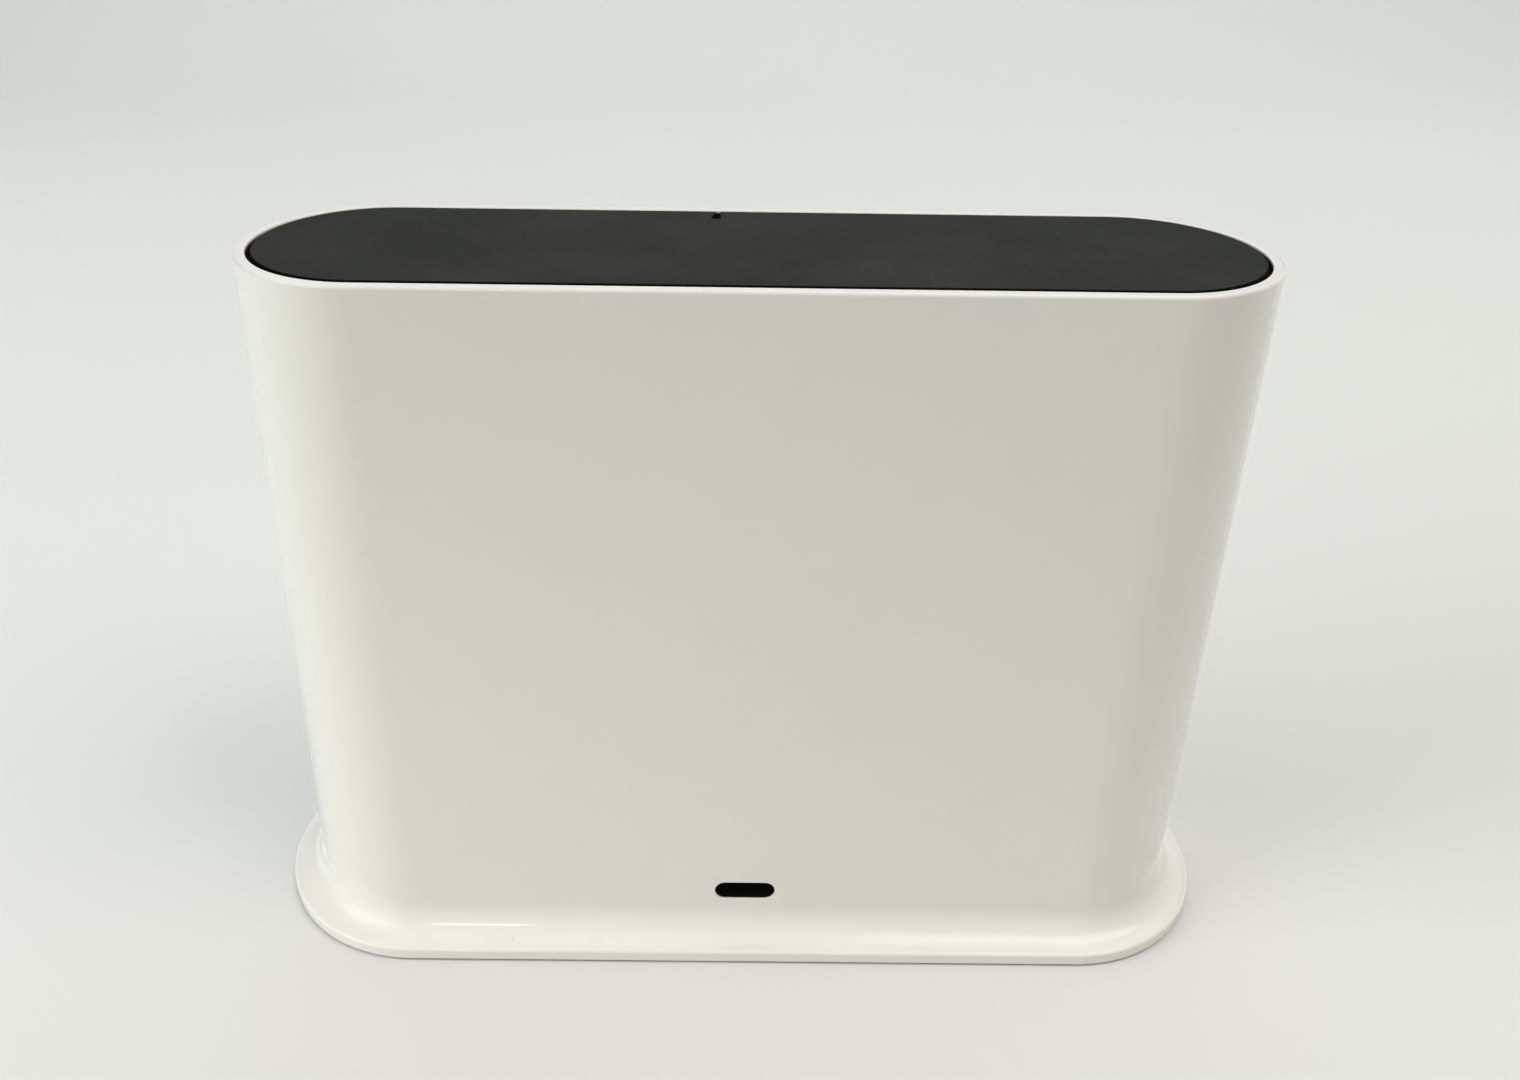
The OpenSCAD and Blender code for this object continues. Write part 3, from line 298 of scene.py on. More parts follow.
def carried(path, section):
    """Carries a section (r, z) round the stations: the point spine + r out, at height z, as a grid."""
    x, out_x, out_y = path
    r, z = section[:, 0], section[:, 1]
    grid = np.empty((len(x), len(r), 3))
    grid[..., 0] = x[:, None] + out_x[:, None] * r
    grid[..., 1] = out_y[:, None] * r
    grid[..., 2] = z
    return grid


def grid_faces(index, close_u=True, close_v=True):
    """Quads between neighbours of an index grid, turned so that u cross v points outwards."""
    a = index if close_u else index[:-1]
    b = np.roll(index, -1, axis=0) if close_u else index[1:]
    if close_v:
        quads = np.stack([a, b, np.roll(b, -1, axis=1), np.roll(a, -1, axis=1)], axis=-1)
    else:
        quads = np.stack([a[:, :-1], b[:, :-1], b[:, 1:], a[:, 1:]], axis=-1)
    return quads


def index_grid(grid):
    """The number of each point of a grid, laid out as the grid is."""
    return np.arange(grid.shape[0] * grid.shape[1]).reshape(grid.shape[:2])


def rounded_side(f, half_w, half_h, r):
    """The lower side of a round-cornered outline, from mid corner to mid corner, at shares f of its length.

    An eighth of a turn about the left corner's centre, the straight, and an eighth about the right one.
    """
    eighth = np.pi * r / 4
    flat = 2 * (half_w - r)
    run = f * (flat + 2 * eighth)
    before = np.minimum(run - eighth, 0)
    after = np.maximum(run - eighth - flat, 0)
    turn = -np.pi / 2 + (before + after) / r
    along = r - half_w + np.clip(run - eighth, 0, flat)
    return np.column_stack([along + r * np.cos(turn), r - half_h + r * np.sin(turn)])


def rounded_ring(f_across, f_up, half_w, half_h, r):
    """A round-cornered outline, anticlockwise from the middle of its lower left corner."""
    sides = []
    for k in range(4):
        f, w, h = (f_across, half_w, half_h) if k % 2 == 0 else (f_up, half_h, half_w)
        f = f if k < 2 else 1 - f[::-1]
        side = rounded_side(f[:-1], w, h, r)
        turned = [side, side[:, ::-1] * (-1, 1), -side, side[:, ::-1] * (1, -1)]
        sides.append(turned[k])
    return np.concatenate(sides)


def border(index, cols, rows):
    """Indices round a rectangle of a grid, from its first column and row; the rows may run up or down."""
    c0, c1 = cols
    r0, r1 = rows
    step = 1 if r1 > r0 else -1
    return np.concatenate([index[c0:c1, r0], index[c1, r0:r1:step], index[c1:c0:-1, r1],
                           index[c0, r1:r0:-step]])


def piece(name, verts, faces, finish, body, slot, *nodes):
    """Makes a mesh of vertices and faces into a finished piece that stands for CAD nodes."""
    verts = np.asarray(verts, dtype=float).reshape(-1, 3)
    faces = np.asarray(faces, dtype=int).reshape(-1, 4)
    used, packed = np.unique(faces, return_inverse=True)
    mesh = bpy.data.meshes.new(name)
    mesh.from_pydata(verts[used].tolist(), [], packed.reshape(faces.shape).tolist())
    bm = bmesh.new()
    bm.from_mesh(mesh)
    bmesh.ops.remove_doubles(bm, verts=bm.verts, dist=MERGE_DIST)
    bmesh.ops.dissolve_degenerate(bm, edges=bm.edges, dist=SLIVER_DIST)
    bm.to_mesh(mesh)
    bm.free()
    mesh.polygons.foreach_set("use_smooth", np.ones(len(mesh.polygons), dtype=bool))
    mesh.set_sharp_from_angle(angle=SHARP_ANGLE)
    mesh.materials.append(finish)
    obj = bpy.data.objects.new(name, mesh)
    bpy.context.scene.collection.objects.link(obj)
    even = obj.modifiers.new("even shading", "WEIGHTED_NORMAL")
    even.keep_sharp = True
    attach(obj, body)
    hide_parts(*nodes)


def sleeve_sizes():
    """The sleeve's sizes, from its box in the frame and its settings."""
    s = settings().sleeve
    low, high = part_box("outer_shell")
    z = SimpleNamespace(foot_r=high.y, half_span=high.x - high.y, rim=high.z, low=low.z)
    z.outer_r = z.foot_r - s.flare
    z.inner_r = z.outer_r - s.wall
    z.recess_r = z.foot_r - s.foot_lip
    z.sweep_r = s.flare - s.edge_round
    z.foot_top = z.low + s.edge_h
    z.sweep_top = z.foot_top + z.sweep_r
    z.sweep_x = z.outer_r + z.sweep_r
    z.base_top = z.low + s.base_t
    z.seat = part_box("top_cover")[1].z - settings().fittings.cover_t
    z.ledge_r = z.inner_r - s.ledge_w
    z.ledge_low = z.seat - s.ledge_t
    return z


def sleeve_section(z, rows):
    """The sleeve's closed section (r, height).

    It runs under the foot, up the sweep and the wall, over the rim and down inside. The straight wall has
    a point at every height in rows, outside and again inside.
    """
    s = settings().sleeve
    hollow_r = z.sweep_r + s.wall
    hollow_end = 180 + math.degrees(math.asin((z.sweep_top - z.base_top) / hollow_r))
    outer = np.column_stack([np.full(len(rows), z.outer_r), rows])
    inner = np.column_stack([np.full(len(rows), z.inner_r), rows])[::-1]
    inner = inner[inner[:, 1] < z.ledge_low]
    parts = [
        [[z.recess_r, z.low]],
        arc((z.foot_r - s.under_round, z.low + s.under_round), s.under_round, -90, 0, s.arc_steps),
        arc((z.foot_r - s.edge_round, z.foot_top - s.edge_round), s.edge_round, 0, 90, s.arc_steps),
        arc((z.sweep_x, z.sweep_top), z.sweep_r, 270, 180, s.sweep_steps)[1:-1],
        outer,
        arc((z.outer_r - s.rim_round, z.rim - s.rim_round), s.rim_round, 0, 90, s.arc_steps),
        arc((z.inner_r + s.lip_round, z.rim - s.lip_round), s.lip_round, 90, 180, s.arc_steps),
        [[z.inner_r, z.seat], [z.ledge_r, z.seat], [z.ledge_r, z.ledge_low], [z.inner_r, z.ledge_low]],
        inner,
        arc((z.sweep_x, z.sweep_top), hollow_r, 180, hollow_end, s.sweep_steps)[1:],
        [[z.recess_r, z.base_top]],
    ]
    return np.concatenate([np.asarray(p, dtype=float) for p in parts])


def wall_holes(z):
    """The window's hole and the port opening: middle, half sizes, corner and the cells given up to each."""
    s = settings().sleeve
    flange = settings().fittings.light_flange
    low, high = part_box("light_window")
    window = SimpleNamespace(mid=(low.z + high.z) / 2, half_w=high.x - flange,
                             half_h=(high.z - low.z) / 2 - flange)
    window.corner = window.half_h
    window.across, window.up = WINDOW_CELLS
    window.reach_x = window.half_w + window.half_h
    window.reach_z = min(window.half_h * HOLE_REACH, window.mid - z.sweep_top - s.lip_round)
    panel_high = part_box("port_panel")[1]
    top = panel_high.z - s.port_lap
    port = SimpleNamespace(mid=(top + s.port_low) / 2, half_w=panel_high.x - s.port_lap,
                           half_h=(top - s.port_low) / 2, corner=s.port_round)
    port.across, port.up = PORT_CELLS
    port.reach_z = (port.mid - z.sweep_top + port.half_h) / 2
    port.reach_x = port.half_w + s.port_round
    return window, port


def sleeve_mesh():
    """The sleeve: its section carried round the plan, with two holes let into the flat walls.

    Each hole takes a rectangle of cells out of the outer and the inner wall. Rings lead from the
    rectangle's border to the hole's outline by equal shares of length, over a quarter-round edge, through
    the wall and out to the same rectangle on the inner wall.
    """
    s = settings().sleeve
    z = sleeve_sizes()
    window, port = wall_holes(z)
    for hole in (window, port):
        hole.xs = crowded(-hole.reach_x, hole.reach_x, hole.across)
        hole.zs = crowded(hole.mid - hole.reach_z, hole.mid + hole.reach_z, hole.up)
    ends = np.array([-z.half_span, z.half_span])
    front_x = np.concatenate([ends[:1], window.xs, ends[1:]])
    rear_x = np.concatenate([ends[:1], port.xs, ends[1:]])[::-1]
    wall_top = z.rim - s.rim_round
    rows = np.unique(np.concatenate([[z.sweep_top], window.zs, port.zs, WALL_ROWS]).round(7))
    section = sleeve_section(z, rows[rows < wall_top])
    grid = carried(stations(z.half_span, front_x, rear_x, s.end_steps), section)
    index = index_grid(grid)
    kept = np.ones(index.shape, dtype=bool)
    verts = [grid.reshape(-1, 3)]
    made = index.size
    faces = []
    rear_start = len(front_x) + s.end_steps - 1
    for hole, start, facing in ((window, 1, -1), (port, rear_start + 1, 1)):
        cols = (start, start + hole.across)
        walls = []
        for radius in (z.outer_r, z.inner_r):
            on_wall = np.flatnonzero(np.isclose(section[:, 0], radius))
            walls.append([on_wall[np.argmin(abs(section[on_wall, 1] - v))] for v in (hole.zs[0], hole.zs[-1])])
        rows_out, rows_in = walls
        kept[cols[0]:cols[1], rows_out[0]:rows_out[1]] = False
        kept[cols[0]:cols[1], rows_in[1]:rows_in[0]] = False
        f_across = (hole.xs - hole.xs[0]) / (hole.xs[-1] - hole.xs[0])
        heights = section[rows_out[0]:rows_out[1] + 1, 1]
        f_up = (heights - heights[0]) / (heights[-1] - heights[0])
        bends = np.radians(np.linspace(0, 90, s.arc_steps + 1))
        grow = np.append(s.hole_round * (1 - np.sin(bends)), [0.0, 0.0])
        depth = np.append(s.hole_round * (1 - np.cos(bends)), [s.wall / 2, s.wall])
        rings = []
        for g, d in zip(grow, depth):
            ring = rounded_ring(f_across, f_up, hole.half_w + g, hole.half_h + g, hole.corner + g)
            y = np.full(len(ring), facing * (z.outer_r - d))
            rings.append(np.column_stack([ring[:, 0] * -facing, y, hole.mid + ring[:, 1]]))
        rings = np.stack(rings)
        ring_index = made + index_grid(rings)
        loops = np.vstack([border(index, cols, rows_out), ring_index, border(index, cols, rows_in)])
        faces.append(grid_faces(loops.T, close_u=True, close_v=False).reshape(-1, 4))
        verts.append(rings.reshape(-1, 3))
        made += ring_index.size
    faces.insert(0, grid_faces(index)[kept])
    return np.concatenate(verts), np.concatenate(faces)


def cover_mesh():
    """The top cover: a plate section carried round the plan to its spine, with a notch in its rear edge.

    The notch takes the cells between two columns, of which the left one leans, out of the rear edge. Its
    wall is the strip between the upper and the lower border of those cells.
    """
    s = settings().sleeve
    t = settings().fittings
    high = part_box("top_cover")[1]
    edge_r = high.y
    half_span = sleeve_sizes().half_span
    top = high.z
    under = top - t.cover_t
    upper = arc((edge_r - t.cover_round, top - t.cover_round), t.cover_round, 0, 90, s.arc_steps)
    inside = np.array([[edge_r - t.notch_d * k, top] for k in COVER_RINGS] + [[0.0, top]])
    upper = np.concatenate([upper, inside])
    lower = upper[::-1] * (1, 0) + (0, under)
    section = np.concatenate([lower, upper])
    sides = t.notch_x + t.notch_w * np.array([-0.5, 0.5])
    wide = np.linspace(-half_span, half_span, COVER_COLUMNS)
    wide = wide[abs(wide - t.notch_x) > t.notch_w]
    front_x = np.sort(np.concatenate([wide, sides]))
    rear_x = front_x[::-1]
    grid = carried(stations(half_span, front_x, rear_x, s.end_steps), section)
    rear_start = len(front_x) + s.end_steps - 1
    right = rear_start + int(np.argmin(abs(rear_x - sides[1])))
    left = right + 1
    depth = edge_r - section[:, 0]
    grid[left, :, 0] += t.notch_lean * np.clip(1 - depth / t.notch_d, 0, 1)
    index = index_grid(grid)
    deep = int(np.flatnonzero(np.isclose(depth, t.notch_d))[-1])
    mirror = len(section) - 1 - deep
    faces = grid_faces(index, close_v=False)
    kept = np.ones(faces.shape[:2], dtype=bool)
    kept[right, mirror:deep] = False
    half = len(upper)
    above = np.concatenate([index[right, half:deep + 1], index[left, half:deep + 1][::-1]])
    below = np.concatenate([index[right, mirror:half][::-1], index[left, mirror:half]])
    wall = np.column_stack([above[:-1], below[:-1], below[1:], above[1:]])
    return grid.reshape(-1, 3), np.concatenate([faces[kept], wall])


def turned_mesh(section, half_span, end_steps):
    """A closed section (r, height) from axis to axis, carried round a round-ended or round plan."""
    x = np.array([-half_span, half_span]) if half_span else np.zeros(1)
    grid = carried(stations(half_span, x, x[::-1], end_steps), np.asarray(section, dtype=float))
    index = index_grid(grid)
    return grid.reshape(-1, 3), grid_faces(index, close_v=False).reshape(-1, 4)


def facing_front(verts, x, z):
    """Turns heights towards the front (-Y) and sets the axis at x and z."""
    return np.column_stack([verts[:, 0] + x, -verts[:, 2], verts[:, 1] + z])


def facing_rear(verts, x, z):
    """Turns heights towards the rear (+Y) and sets the axis at x and z."""
    return np.column_stack([-verts[:, 0] + x, verts[:, 2], verts[:, 1] + z])


def swept_tube(path, radius, sides):
    """A round wire along a path in the plane x = 0: circles square to the path, closed at both ends."""
    heading = np.gradient(path, axis=0)
    heading /= np.linalg.norm(heading, axis=1, keepdims=True)
    across = np.array([1.0, 0.0, 0.0])
    up = np.cross(across, heading)
    a = np.linspace(0, 2 * np.pi, sides, endpoint=False)
    ring = radius * (np.cos(a)[None, :, None] * across + np.sin(a)[None, :, None] * up[:, None, :])
    tube = path[:, None, :] + ring
    caps = np.repeat(path[[0, -1]], sides, axis=0).reshape(2, sides, 3)
    return np.concatenate([caps[:1], tube, caps[1:]])


def wires_mesh():
    """The contact wires, each a round wire along a folded path.

    A straight upper run, a fold about a small circle, and a lower run that leaves it on a tangent.
    """
    t = settings().fittings
    low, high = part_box("net_contacts")
    r, fold = t.wire_r, t.wire_fold
    top = high.z - r
    centre = np.array([high.y - r - fold, top - fold])
    tip = np.array([low.y + t.wire_tip, low.z + r])
    reach = centre - tip
    span = np.hypot(*reach)
    slope = math.atan2(reach[1], reach[0]) - math.asin(fold / span)
    bend = arc(centre, fold, 90, math.degrees(slope) - 90, FOLD_STEPS)
    upper = np.column_stack([np.linspace(low.y + r, centre[0], RUN_POINTS), np.full(RUN_POINTS, top)])[:-1]
    lower = bend[-1] + (tip - bend[-1]) * np.linspace(0, 1, RUN_POINTS)[1:, None]
    run = np.concatenate([upper, bend, lower])
    tube = swept_tube(np.column_stack([np.zeros(len(run)), run]), r, WIRE_SIDES)
    index = index_grid(tube)
    faces = grid_faces(index, close_u=False).reshape(-1, 4)
    xs = np.linspace(low.x + r, high.x - r, t.wire_count)
    verts = tube.reshape(-1, 3)[None] + np.column_stack([xs, 0 * xs, 0 * xs])[:, None]
    faces = faces[None] + index.size * np.arange(t.wire_count)[:, None, None]
    return verts.reshape(-1, 3), faces.reshape(-1, 4)


# Shader nodes

class Nodes:
    """A node tree to add to; an input takes a plain value or another node's output."""

    def __init__(self, tree):
        self.tree = tree

    def put(self, socket, value):
        """Links an output to a socket, or sets the socket's value."""
        if isinstance(value, bpy.types.NodeSocket):
            self.tree.links.new(value, socket)
        else:
            socket.default_value = value

    def add(self, kind, inputs=None, **words):
        """Adds a shader node with its settings and inputs, and gives its outputs."""
        made = self.tree.nodes.new("ShaderNode" + kind)
        for key, value in words.items():
            setattr(made, key, value)
        for key, value in (inputs or {}).items():
            self.put(made.inputs[key], value)
        return made.outputs

    def maths(self, operation, a, b):
        return self.add("Math", {0: a, 1: b}, operation=operation)[0]

    def plus(self, a, b):
        return self.maths("ADD", a, b)

    def minus(self, a, b):
        return self.maths("SUBTRACT", a, b)

    def times(self, a, b):
        return self.maths("MULTIPLY", a, b)

    def larger(self, a, b):
        return self.maths("MAXIMUM", a, b)

    def mapped(self, value, low, high, to_low, to_high):
        """A value brought from one range to another, and held there."""
        return self.add("MapRange", {"Value": value, "From Min": low, "From Max": high,
                                     "To Min": to_low, "To Max": to_high})["Result"]

    def rising(self, value, low, high):
        """0 up to low and 1 from high on."""
        return self.mapped(value, low, high, 0.0, 1.0)

    def falling(self, value, low, high):
        """1 up to low and 0 from high on."""
        return self.mapped(value, low, high, 1.0, 0.0)

    def noise(self, place, scale, detail=2.0, rough=0.5):
        return self.add("TexNoise", {"Vector": place, "Scale": scale, "Detail": detail,
                                     "Roughness": rough})["Fac"]

    def cells(self, place, scale, **more):
        return self.add("TexVoronoi", {"Vector": place, "Scale": scale, **more})

    def mixed(self, share_of, a, b):
        """A colour between two colours."""
        return self.add("Mix", {0: share_of, 6: a, 7: b}, data_type="RGBA")[2]

    def parts(self, vector):
        return self.add("SeparateXYZ", {0: vector})

    def red(self, tone):
        return self.add("SeparateColor", {0: tone})["Red"]


def new_group(name, inputs, outputs):
    """An empty shader group with a Place and other named inputs (name, type, default), and its outputs."""
    tree = bpy.data.node_groups.new(name, "ShaderNodeTree")
    for label, kind, default in [("Place", "Vector", None), *inputs]:
        socket = tree.interface.new_socket(label, in_out="INPUT", socket_type="NodeSocket" + kind)
        if default is not None:
            socket.default_value = default
    for label, kind in outputs:
        tree.interface.new_socket(label, in_out="OUTPUT", socket_type="NodeSocket" + kind)
    return Nodes(tree), tree.nodes.new("NodeGroupInput").outputs, tree.nodes.new("NodeGroupOutput").inputs


def once(build):
    """Keeps a group by its function's name, so that it is built once."""
    def found():
        return bpy.data.node_groups.get(build.__name__) or build(build.__name__)
    return found


@once
def moulded_grain_group(name):
    """Spark-eroded mould texture: fine noise over small rounded cells."""
    n, given, out = new_group(name, [("Scale", "Float", 4000.0)], [("Height", "Float"), ("Fleck", "Float")])
    fine = n.noise(given["Place"], given["Scale"], 3.0, 0.6)
    cells = n.cells(given["Place"], given["Scale"])["Distance"]
    n.put(out["Height"], n.plus(n.times(fine, 0.65), n.times(cells, 0.35)))
    n.put(out["Fleck"], n.rising(fine, 0.52, 0.72))
    return n.tree


@once
def tone_drift_group(name):
    """A slow, uneven drift from one colour towards another."""
    n, given, out = new_group(name, [
        ("Colour", "Color", None), ("Drift", "Color", None), ("Scale", "Float", 20.0),
        ("Amount", "Float", 0.5)], [("Colour", "Color")])
    patch = n.rising(n.noise(given["Place"], given["Scale"], 3.0), *NOISE_SPAN)
    n.put(out["Colour"], n.mixed(n.times(patch, given["Amount"]), given["Colour"], given["Drift"]))
    return n.tree


@once
def handling_marks_group(name):
    """Hairline scuffs: two crossing sets of long thin streaks, broken up by patches."""
    n, given, out = new_group(name, [("Scale", "Float", 60.0), ("Amount", "Float", 0.5)], [("Mask", "Float")])
    sets = []
    for turn, stretch in SCUFF_SETS:
        spread = n.add("Mapping", {"Vector": given["Place"], "Rotation": turn, "Scale": stretch})[0]
        sets.append(n.rising(n.noise(spread, given["Scale"], 2.0, 0.4), 0.66, 0.70))
    patch = n.rising(n.noise(given["Place"], given["Scale"], 1.0), 0.5, 0.68)
    n.put(out["Mask"], n.times(n.times(n.larger(*sets), patch), given["Amount"]))
    return n.tree


@once
def settled_dust_group(name):
    """Specks and a faint film of dust, more on faces that look upwards."""
    n, given, out = new_group(name, [
        ("Normal", "Vector", None), ("Scale", "Float", 700.0), ("Amount", "Float", 0.3)], [("Mask", "Float")])
    facing = n.mapped(n.parts(given["Normal"])["Z"], -0.2, 1.0, 0.12, 1.0)
    cells = n.cells(given["Place"], given["Scale"])
    rare = n.rising(n.red(cells["Color"]), 0.9, 0.95)
    speck = n.times(n.falling(cells["Distance"], 0.05, 0.12), rare)
    film = n.mapped(n.noise(given["Place"], 45.0, 4.0, 0.65), 0.45, 0.8, 0.0, 0.35)
    n.put(out["Mask"], n.times(n.times(n.larger(speck, film), facing), given["Amount"]))
    return n.tree


@once
def drawn_lines_group(name):
    """Fine parallel lines of drawn or milled metal, along the axis that has the small stretch."""
    n, given, out = new_group(name, [("Stretch", "Vector", (1.0, 40.0, 40.0)), ("Scale", "Float", 120.0)],
                              [("Height", "Float"), ("Sheen", "Float")])
    spread = n.add("VectorMath", {0: given["Place"], 1: given["Stretch"]}, operation="MULTIPLY")[0]
    lines = n.noise(spread, given["Scale"], 4.0, 0.7)
    n.put(out["Height"], lines)
    n.put(out["Sheen"], n.rising(lines, *NOISE_SPAN))
    return n.tree


@once
def circuit_tracks_group(name):
    """Rows of tracks broken by blocks, and round pads on a grid, as under a solder mask."""
    n, given, out = new_group(name, [("Scale", "Float", 500.0)], [("Track", "Float"), ("Pad", "Float")])
    bricks = n.add("TexBrick", {
        "Vector": given["Place"], "Scale": given["Scale"], "Mortar Size": 0.08, "Brick Width": 6.0,
        "Row Height": 0.5, "Color1": (1, 1, 1, 1), "Color2": (1, 1, 1, 1), "Mortar": (0, 0, 0, 1)}, offset=0.37)
    block = n.rising(n.noise(given["Place"], 90.0, 1.0), 0.44, 0.46)
    n.put(out["Track"], n.times(n.red(bricks["Color"]), block))
    n.put(out["Pad"], n.falling(n.cells(given["Place"], 330.0, Randomness=0.55)["Distance"], 0.14, 0.17))
    return n.tree


# Finishes

def opaque(colour_value):
    return (*colour_value, 1.0)


def shaded(base, factor):
    """A colour times a factor: darker below 1, lighter above."""
    return tuple(v * factor for v in base)


class Finish(Nodes):
    """A material under way: constants on its Principled shader's own inputs, and the place on the piece."""

    def __init__(self, name, **constants):
        self.made = bpy.data.materials.new(name + FINISH_TAIL)
        self.made.use_nodes = True
        super().__init__(self.made.node_tree)
        self.shader = self.tree.nodes["Principled BSDF"].inputs
        for label, value in constants.items():
            self.shader[label.replace("_", " ")].default_value = value
        self.where = self.add("TexCoord")["Object"]

    def feed(self, label, value):
        self.put(self.shader[label], value)

    def use(self, group, **inputs):
        """Places a shader group in the material."""
        return self.add("Group", {"Place": self.where, **inputs}, node_tree=group)

    def normal(self):
        return self.add("NewGeometry")["Normal"]

    def grain(self, scale):
        return self.use(moulded_grain_group(), Scale=scale)

    def tone(self, base, drift, scale, amount):
        return self.use(tone_drift_group(), Colour=opaque(base), Drift=opaque(drift), Scale=scale,
                        Amount=amount)["Colour"]

    def dust(self, scale, amount):
        return self.use(settled_dust_group(), Normal=self.normal(), Scale=scale, Amount=amount)["Mask"]

    def marks(self, scale, amount):
        return self.use(handling_marks_group(), Scale=scale, Amount=amount)["Mask"]

    def haze(self, low, high, scale, detail=2.0):
        """A roughness that drifts between two values."""
        return self.mapped(self.noise(self.where, scale, detail), *NOISE_SPAN, low, high)

    def bump(self, height, distance, strength):
        """Feeds a height through a bump into the shader's normal."""
        bent = self.add("Bump", {"Height": height, "Distance": distance, "Strength": strength})
        self.feed("Normal", bent["Normal"])


def inside_sleeve(f):
    """Mask of painted shade: 1 on the sleeve's inner faces below the lip, by distance to the spine, 0
    elsewhere.
    """
    z = sleeve_sizes()
    at = f.parts(f.where)
    past_end = f.minus(f.maths("ABSOLUTE", at["X"], 0.0), z.half_span)
    flat = f.add("CombineXYZ", {"X": f.larger(past_end, 0.0), "Y": at["Y"]})[0]
    reach = f.add("VectorMath", {0: flat}, operation="LENGTH")["Value"]
    start = z.rim - settings().sleeve.coat_drop
    inner = f.falling(reach, z.inner_r + PAINTED_SHADE_NEAR, z.inner_r + PAINTED_SHADE_FAR)
    return f.times(inner, f.falling(at["Z"], start - PAINTED_SHADE_FADE, start))


def gloss_white(name):
    """Polished warm white moulding with a faint orange peel, scuffs and dust.

    Inside, below the lip, its colour is painted near-black shade, so that the gap round the cover looks dark.
    To a ray that was mirrored twice before, it is matt, so that the corner of wall and foot doesn't end in
    black where the bounces run out.
    """
    c = settings().colours
    f = Finish(name, IOR=1.5, Coat_IOR=1.5, Coat_Roughness=0.03)
    dust = f.dust(260.0, 0.3)
    # painted shade: the inner wall below the lip is painted near black so the gap looks dark; there it is also
    # rougher, without clear coat
    coat = inside_sleeve(f)
    dusty = f.mixed(dust, f.tone(c.white, c.cream, 14.0, 0.4), opaque(c.dust))
    f.feed("Base Color", f.mixed(coat, dusty, opaque(c.coat)))
    rough = f.haze(0.10, 0.18, 38.0, 3.0)
    for mask, gain in ((f.marks(55.0, 0.5), 0.12), (dust, 0.3), (coat, 0.7)):
        rough = f.plus(rough, f.times(mask, gain))
    twice = f.maths("GREATER_THAN", f.add("LightPath")["Glossy Depth"], 1.5)
    f.feed("Roughness", f.larger(rough, twice))
    f.feed("Coat Weight", f.minus(1.0, f.larger(coat, twice)))
    f.bump(f.noise(f.where, 420.0), 0.00002, 0.12)
    return f.made


def charcoal(name, edge_shade_share, sheen):
    """Charcoal moulding with a fine spark-eroded texture, paler flecks and dust.

    Faces that don't look straight up take on a share of painted near-black shade, so the edge looks dark in its
    gap.
    """
    c = settings().colours
    f = Finish(name, IOR=1.48, Specular_IOR_Level=sheen)
    grain = f.grain(2600.0)
    tone = f.tone(c.charcoal, c.charcoal_light, 24.0, 0.45)
    flecked = f.mixed(f.times(grain["Fleck"], 0.35), tone, opaque(c.charcoal_light))
    dusty = f.mixed(f.dust(420.0, 0.06), flecked, opaque(c.dust))
    # painted shade: faces that don't look straight up are mixed towards near black, so the cover's edge in its
    # gap looks dark
    edge = f.mapped(f.parts(f.normal())["Z"], 0.93, 0.998, edge_shade_share, 0.0)
    f.feed("Base Color", f.mixed(edge, dusty, opaque(c.coat)))
    f.feed("Roughness", f.minus(f.haze(0.66, 0.76, 30.0, 3.0), f.times(f.marks(48.0, 0.6), 0.12)))
    f.bump(grain["Height"], 0.00006, 0.6)
    return f.made


def grained_plastic(name, base, drift, scale, rough, grain_depth):
    """A matt moulded plastic with drift, grain and scuffs; a colour is its setting and a factor."""
    c = settings().colours
    f = Finish(name, IOR=1.5)
    base, drift = (shaded(getattr(c, setting), factor) for setting, factor in (base, drift))
    f.feed("Base Color", f.mixed(f.dust(500.0, 0.08), f.tone(base, drift, 40.0, 0.6), opaque(c.dust)))
    haze = f.haze(rough - 0.06, rough + 0.06, 60.0, 3.0)
    f.feed("Roughness", f.minus(haze, f.times(f.marks(70.0, 0.6), 0.12)))
    f.bump(f.grain(scale)["Height"], grain_depth, 0.5)
    return f.made


def drawn_metal(name, setting, tarnish, stretch, rough):
    """Metal with drawing lines, tarnish drift and scuffs."""
    base = getattr(settings().colours, setting)
    f = Finish(name, Metallic=1.0)
    lines = f.use(drawn_lines_group(), Stretch=stretch, Scale=150.0)
    f.feed("Base Color", f.tone(base, shaded(base, tarnish), 110.0, 0.7))
    haze = f.mapped(lines["Sheen"], 0.0, 1.0, rough - 0.07, rough + 0.07)
    f.feed("Roughness", f.plus(haze, f.times(f.marks(90.0, 0.7), 0.15)))
    f.bump(lines["Height"], 0.00001, 0.4)
    return f.made


def window_black(name):
    """Smoked window: almost black, with a faint haze."""
    black = settings().colours.black
    f = Finish(name, IOR=1.49, Specular_IOR_Level=0.02)
    f.feed("Base Color", f.tone(shaded(black, 0.04), shaded(black, 0.1), 300.0, 0.5))
    f.feed("Roughness", f.plus(f.times(f.marks(160.0, 0.6), 0.2), 0.16))
    f.bump(f.noise(f.where, 900.0), 0.00001, 0.2)
    return f.made


def clear_guide(name):
    """Clear moulded light guide."""
    c = settings().colours
    f = Finish(name, IOR=1.49, Transmission_Weight=1.0)
    f.feed("Base Color", f.tone(c.guide, c.guide_drift, 90.0, 0.5))
    f.feed("Roughness", f.haze(0.03, 0.10, 220.0))
    f.bump(f.noise(f.where, 500.0), 0.00001, 0.2)
    return f.made


def led_white(name):
    """Small lamp: white case with a yellow phosphor face."""
    c = settings().colours
    f = Finish(name, IOR=1.5)
    face = f.rising(f.noise(f.where, 700.0), 0.42, 0.58)
    f.feed("Base Color", f.mixed(face, opaque(c.led_case), opaque(c.phosphor)))
    f.feed("Roughness", f.mapped(face, 0.0, 1.0, 0.3, 0.5))
    f.bump(f.noise(f.where, 1600.0), 0.00002, 0.3)
    return f.made


